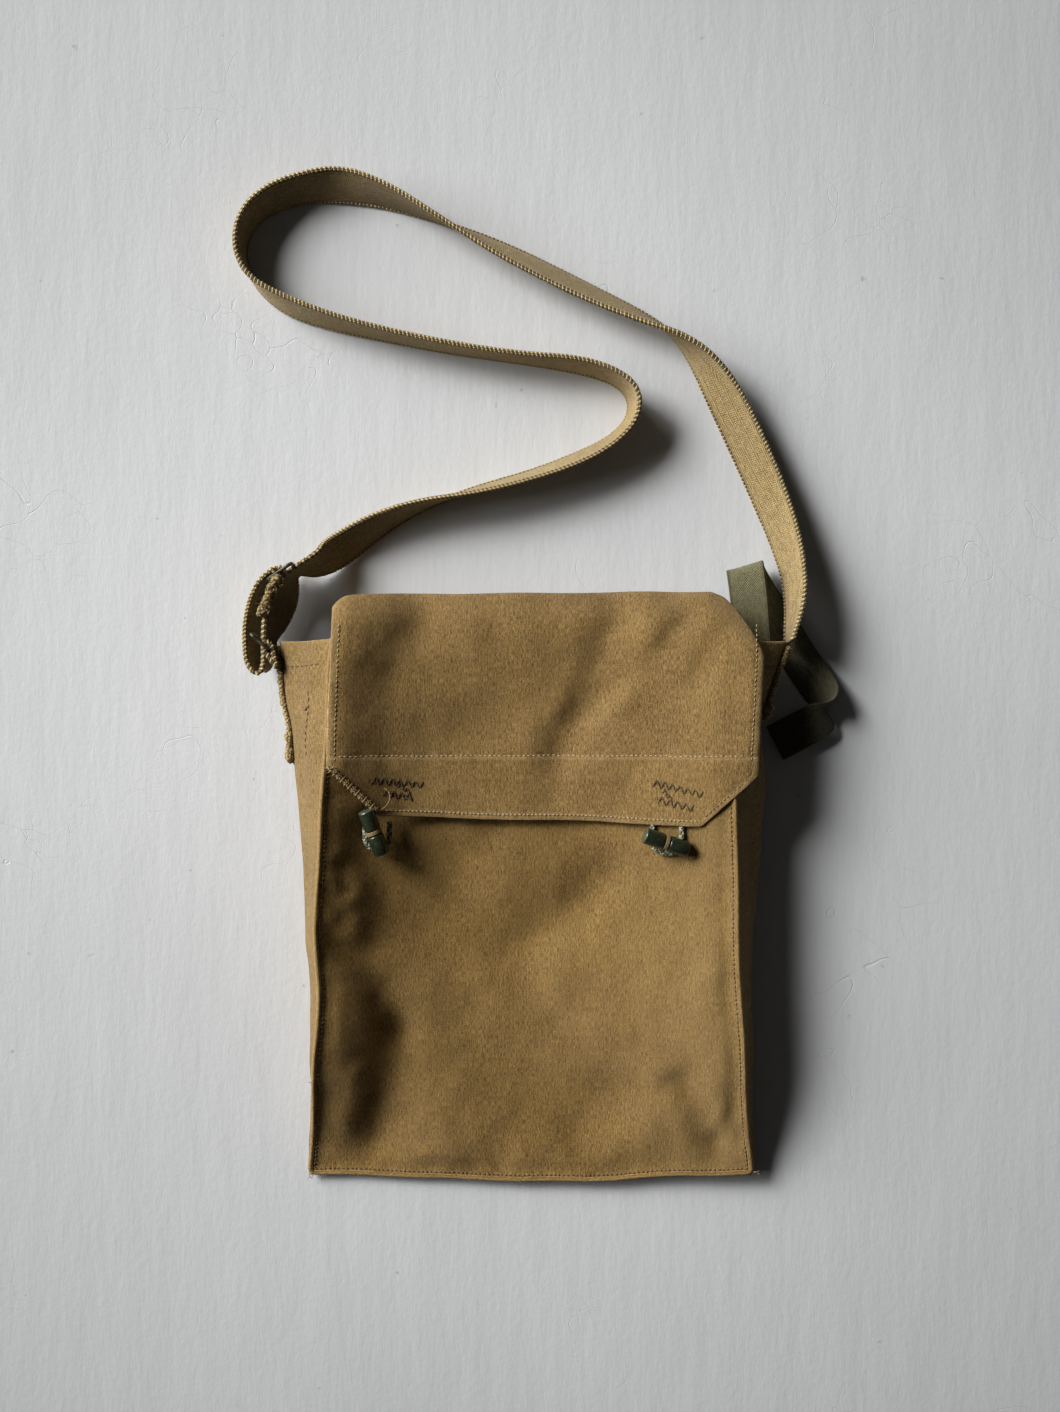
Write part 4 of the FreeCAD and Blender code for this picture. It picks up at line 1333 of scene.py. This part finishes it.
def dowel_material(name):
    """Dark green gloss paint, rubbed through on the ends and edges."""
    s = Shader(name)
    u, v, wear = s.marks()
    place = s.place(u, v)
    chips = s.noise(place, 0.5, 4.0, 0.7)
    cloud = s.noise(place, 0.12, 3.0, 0.5)
    fine = s.noise(place, 2.2, 2.0, 0.5)
    colour = s.mix(s.span(cloud, 0.3, 0.7), (0.011, 0.016, 0.008), (0.026, 0.034, 0.018))
    colour = s.mix(s.span(chips, 0.62, 0.72, 0.0, 0.6), colour, (0.15, 0.165, 0.11))
    rubbed = s.times(wear, s.span(fine, 0.3, 0.6, 0.35, 0.95))
    colour = s.mix(rubbed, colour, (0.085, 0.1, 0.062))
    roughness = s.add(s.span(cloud, 0.3, 0.7, 0.16, 0.3), s.span(chips, 0.6, 0.72, 0.0, 0.3))
    height = s.add(s.times(chips, -0.5), s.times(fine, 0.2))
    return s.finish(colour, roughness, height, 0.0002, 0.5,
                    **{"Coat Weight": 0.15, "Coat Roughness": 0.25})


def metal_material(name):
    """Darkened wire with rubbed high spots and a little green tarnish."""
    s = Shader(name)
    place = s.in_object()
    cloud = s.noise(place, 160.0, 4.0, 0.6)
    fine = s.noise(place, 1300.0, 3.0, 0.6)
    colour = s.mix(s.span(cloud, 0.35, 0.65), (0.03, 0.024, 0.016), (0.13, 0.11, 0.075))
    colour = s.mix(s.span(fine, 0.6, 0.75, 0.0, 0.5), colour, (0.1, 0.12, 0.08))
    return s.finish(colour, s.span(cloud, 0.3, 0.7, 0.3, 0.6), fine, 0.0002, 0.5, Metallic=0.6)


def floor_material(name):
    """Pale painted plaster with trowel ridges, pits and scratches, and painted shade that dims it
    away from its middle.
    """
    s = Shader(name)
    place = s.in_object()
    strokes = s.noise(s.turned(place, (1.0, 0.22, 1.0), 0.18), 42.0, 5.0, 0.62)
    broad = s.noise(place, 3.2, 4.0, 0.55)
    fine = s.noise(place, 210.0, 4.0, 0.6)
    scuff = s.noise(place, 17.0, 6.0, 0.68)
    cloud = s.node("ShaderNodeTexNoise", {"Vector": place, "Scale": 9.0}).outputs["Color"]
    wobble = s.node("ShaderNodeVectorMath", {0: s.turned(place, (1.0, 0.3, 1.0), -0.1), 1: cloud},
                    operation="ADD").outputs[0]
    cracks = s.node("ShaderNodeTexVoronoi", {"Vector": wobble, "Scale": 7.0},
                    feature="DISTANCE_TO_EDGE").outputs["Distance"]
    patchy = s.span(s.noise(place, 7.0, 3.0), 0.57, 0.63)
    scratch = s.times(s.span(cracks, 0.0, 0.006, 1.0, 0.0), patchy)
    pits = s.span(s.noise(place, 95.0, 2.0), 0.74, 0.78)
    far = s.node("ShaderNodeVectorMath", {0: place, 1: (0.0, 0.124, 0.0)},
                 operation="DISTANCE").outputs["Value"]
    colour = s.mix(s.span(broad, 0.3, 0.7), (0.585, 0.6, 0.617), (0.638, 0.653, 0.672))
    colour = s.mix(s.span(scuff, 0.66, 0.78, 0.0, 0.25), colour, (0.4, 0.42, 0.45))
    colour = s.mix(s.times(pits, 0.5), colour, (0.3, 0.32, 0.35))
    # painted shade: the floor darkens with distance from the middle, the light's falloff towards
    # the corners
    colour = s.mix(s.span(far, 0.2, 0.62, 0.0, 0.3), colour, (0.0, 0.0, 0.0))
    height = s.add(strokes, s.times(fine, 0.25), s.times(scratch, -0.35))
    return s.finish(colour, s.span(strokes, 0.3, 0.7, 0.55, 0.72), height, 0.0016, 0.4,
                    **{"Specular IOR Level": 0.3})


# --- the stage ---

CAMERA_PLACE = (-0.002, 0.1242, 1.330)
LIGHT_AIM = (0.0, 0.1, 0.0)
# name, place, width, height, watts
LIGHTS = [
    ("window", (-4.75, 3.3, 4.15), 2.5, 2.5, 460.0),
    ("daylight", (-6.0, 2.9, 3.0), 7.5, 4.6, 690.0),
]
FLOOR_HALF = 3.0


def stage():
    """The camera, two soft lights, the room's dim fill and the floor."""
    scene = bpy.context.scene
    scene.view_settings.view_transform = "Standard"
    lens = bpy.data.cameras.new("camera")
    lens.sensor_fit = "VERTICAL"
    lens.sensor_height = 36.0
    lens.lens = 51.89
    camera = bpy.data.objects.new("camera", lens)
    camera.location = CAMERA_PLACE
    scene.collection.objects.link(camera)
    scene.camera = camera
    for name, place, width, height, watts in LIGHTS:
        light = bpy.data.lights.new(name, "AREA")
        light.shape = "RECTANGLE"
        light.size = width
        light.size_y = height
        light.energy = watts
        light.color = (1.0, 0.985, 0.965)
        holder = bpy.data.objects.new(name, light)
        holder.location = place
        aim = Vector(LIGHT_AIM) - holder.location
        holder.rotation_euler = aim.to_track_quat("-Z", "Y").to_euler()
        scene.collection.objects.link(holder)
    world = bpy.data.worlds.new("room")
    world.use_nodes = True
    background = world.node_tree.nodes["Background"]
    background.inputs[0].default_value = (1.0, 0.97, 0.93, 1.0)
    background.inputs[1].default_value = 0.026
    scene.world = world
    mesh = bpy.data.meshes.new("floor")
    corners = [(x * FLOOR_HALF, y * FLOOR_HALF, 0) for x, y in ((-1, -1), (1, -1), (1, 1), (-1, 1))]
    mesh.from_pydata(corners, [], [(0, 1, 2, 3)])
    mesh.materials.append(floor_material("plaster"))
    floor = bpy.data.objects.new("floor", mesh)
    scene.collection.objects.link(floor)


def paint(node, material):
    """Give a CAD node that is shown as it is a finish of its own."""
    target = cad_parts[node]
    target.data.materials.clear()
    target.data.materials.append(material)


def main():
    stage()
    # colours: light yarn, dark yarn and faded
    canvas = canvas_material("canvas", (0.6, 0.375, 0.115), (0.125, 0.06, 0.006),
                             (0.6, 0.41, 0.175))
    sides = canvas_material("canvas_side", (0.57, 0.375, 0.14), (0.16, 0.088, 0.018),
                            (0.46, 0.31, 0.125))
    flap = canvas_material("canvas_flap", (0.63, 0.405, 0.143), (0.135, 0.068, 0.01),
                           (0.58, 0.42, 0.2))
    web = web_material("webbing", (0.52, 0.39, 0.18), (0.15, 0.095, 0.03),
                       (0.56, 0.44, 0.24), 8.5, 3.2)
    olive = web_material("olive_tape", (0.28, 0.26, 0.145), (0.095, 0.09, 0.046),
                         (0.27, 0.26, 0.16), 10.5, 2.4)
    thread = thread_material("thread", (0.16, 0.1, 0.045), (0.55, 0.42, 0.24))
    dark_thread = thread_material("dark_thread", (0.125, 0.082, 0.036), (0.3, 0.21, 0.11))
    twine = thread_material("twine", (0.24, 0.155, 0.055), (0.44, 0.32, 0.15))
    braid = thread_material("braid", (0.14, 0.15, 0.088), (0.52, 0.52, 0.37))
    sides_of_bag = ((LEFT, "left"), (RIGHT, "right"))
    for _, name in sides_of_bag:
        cord_loop(name, braid)
    shoulder_strap(web)
    side_loop(olive)
    bag_back(canvas)
    bag_front(canvas)
    for side, name in sides_of_bag:
        bag_gusset(side, name, sides)
    bag_bottom(canvas)
    front_seam(canvas)
    back_seam(canvas)
    flap_back(flap)
    flap_cloth(flap)
    front_stitching(thread)
    for side, name in sides_of_bag:
        gusset_stitching(side, name, thread)
    flap_stitching(thread)
    for _, name in sides_of_bag:
        bartacks(name, dark_thread)
    corner_twine(twine)
    for _, name in sides_of_bag:
        wound_twine(name, twine)
    sewn_web("chape", LEFT, (90, 162), "strap_chape", web)
    sewn_web("strap_end", RIGHT, (118, 162), "strap_end_patch", web)
    hairpin("ring_chape", KEEPER_ROUTE, 25, "bag", "ring_keeper", web)
    hairpin("slider_wrap", SLIDER_WRAP_ROUTE, 26, "slider", "strap_end_loop", web, 1.5)
    frayed_end(web)
    metal = metal_material("dark_metal")
    paint("strap_ring", metal)
    paint("slider", metal)
    gloss = dowel_material("painted_dowel")
    for _, name in sides_of_bag:
        dowel(name, gloss)


main()
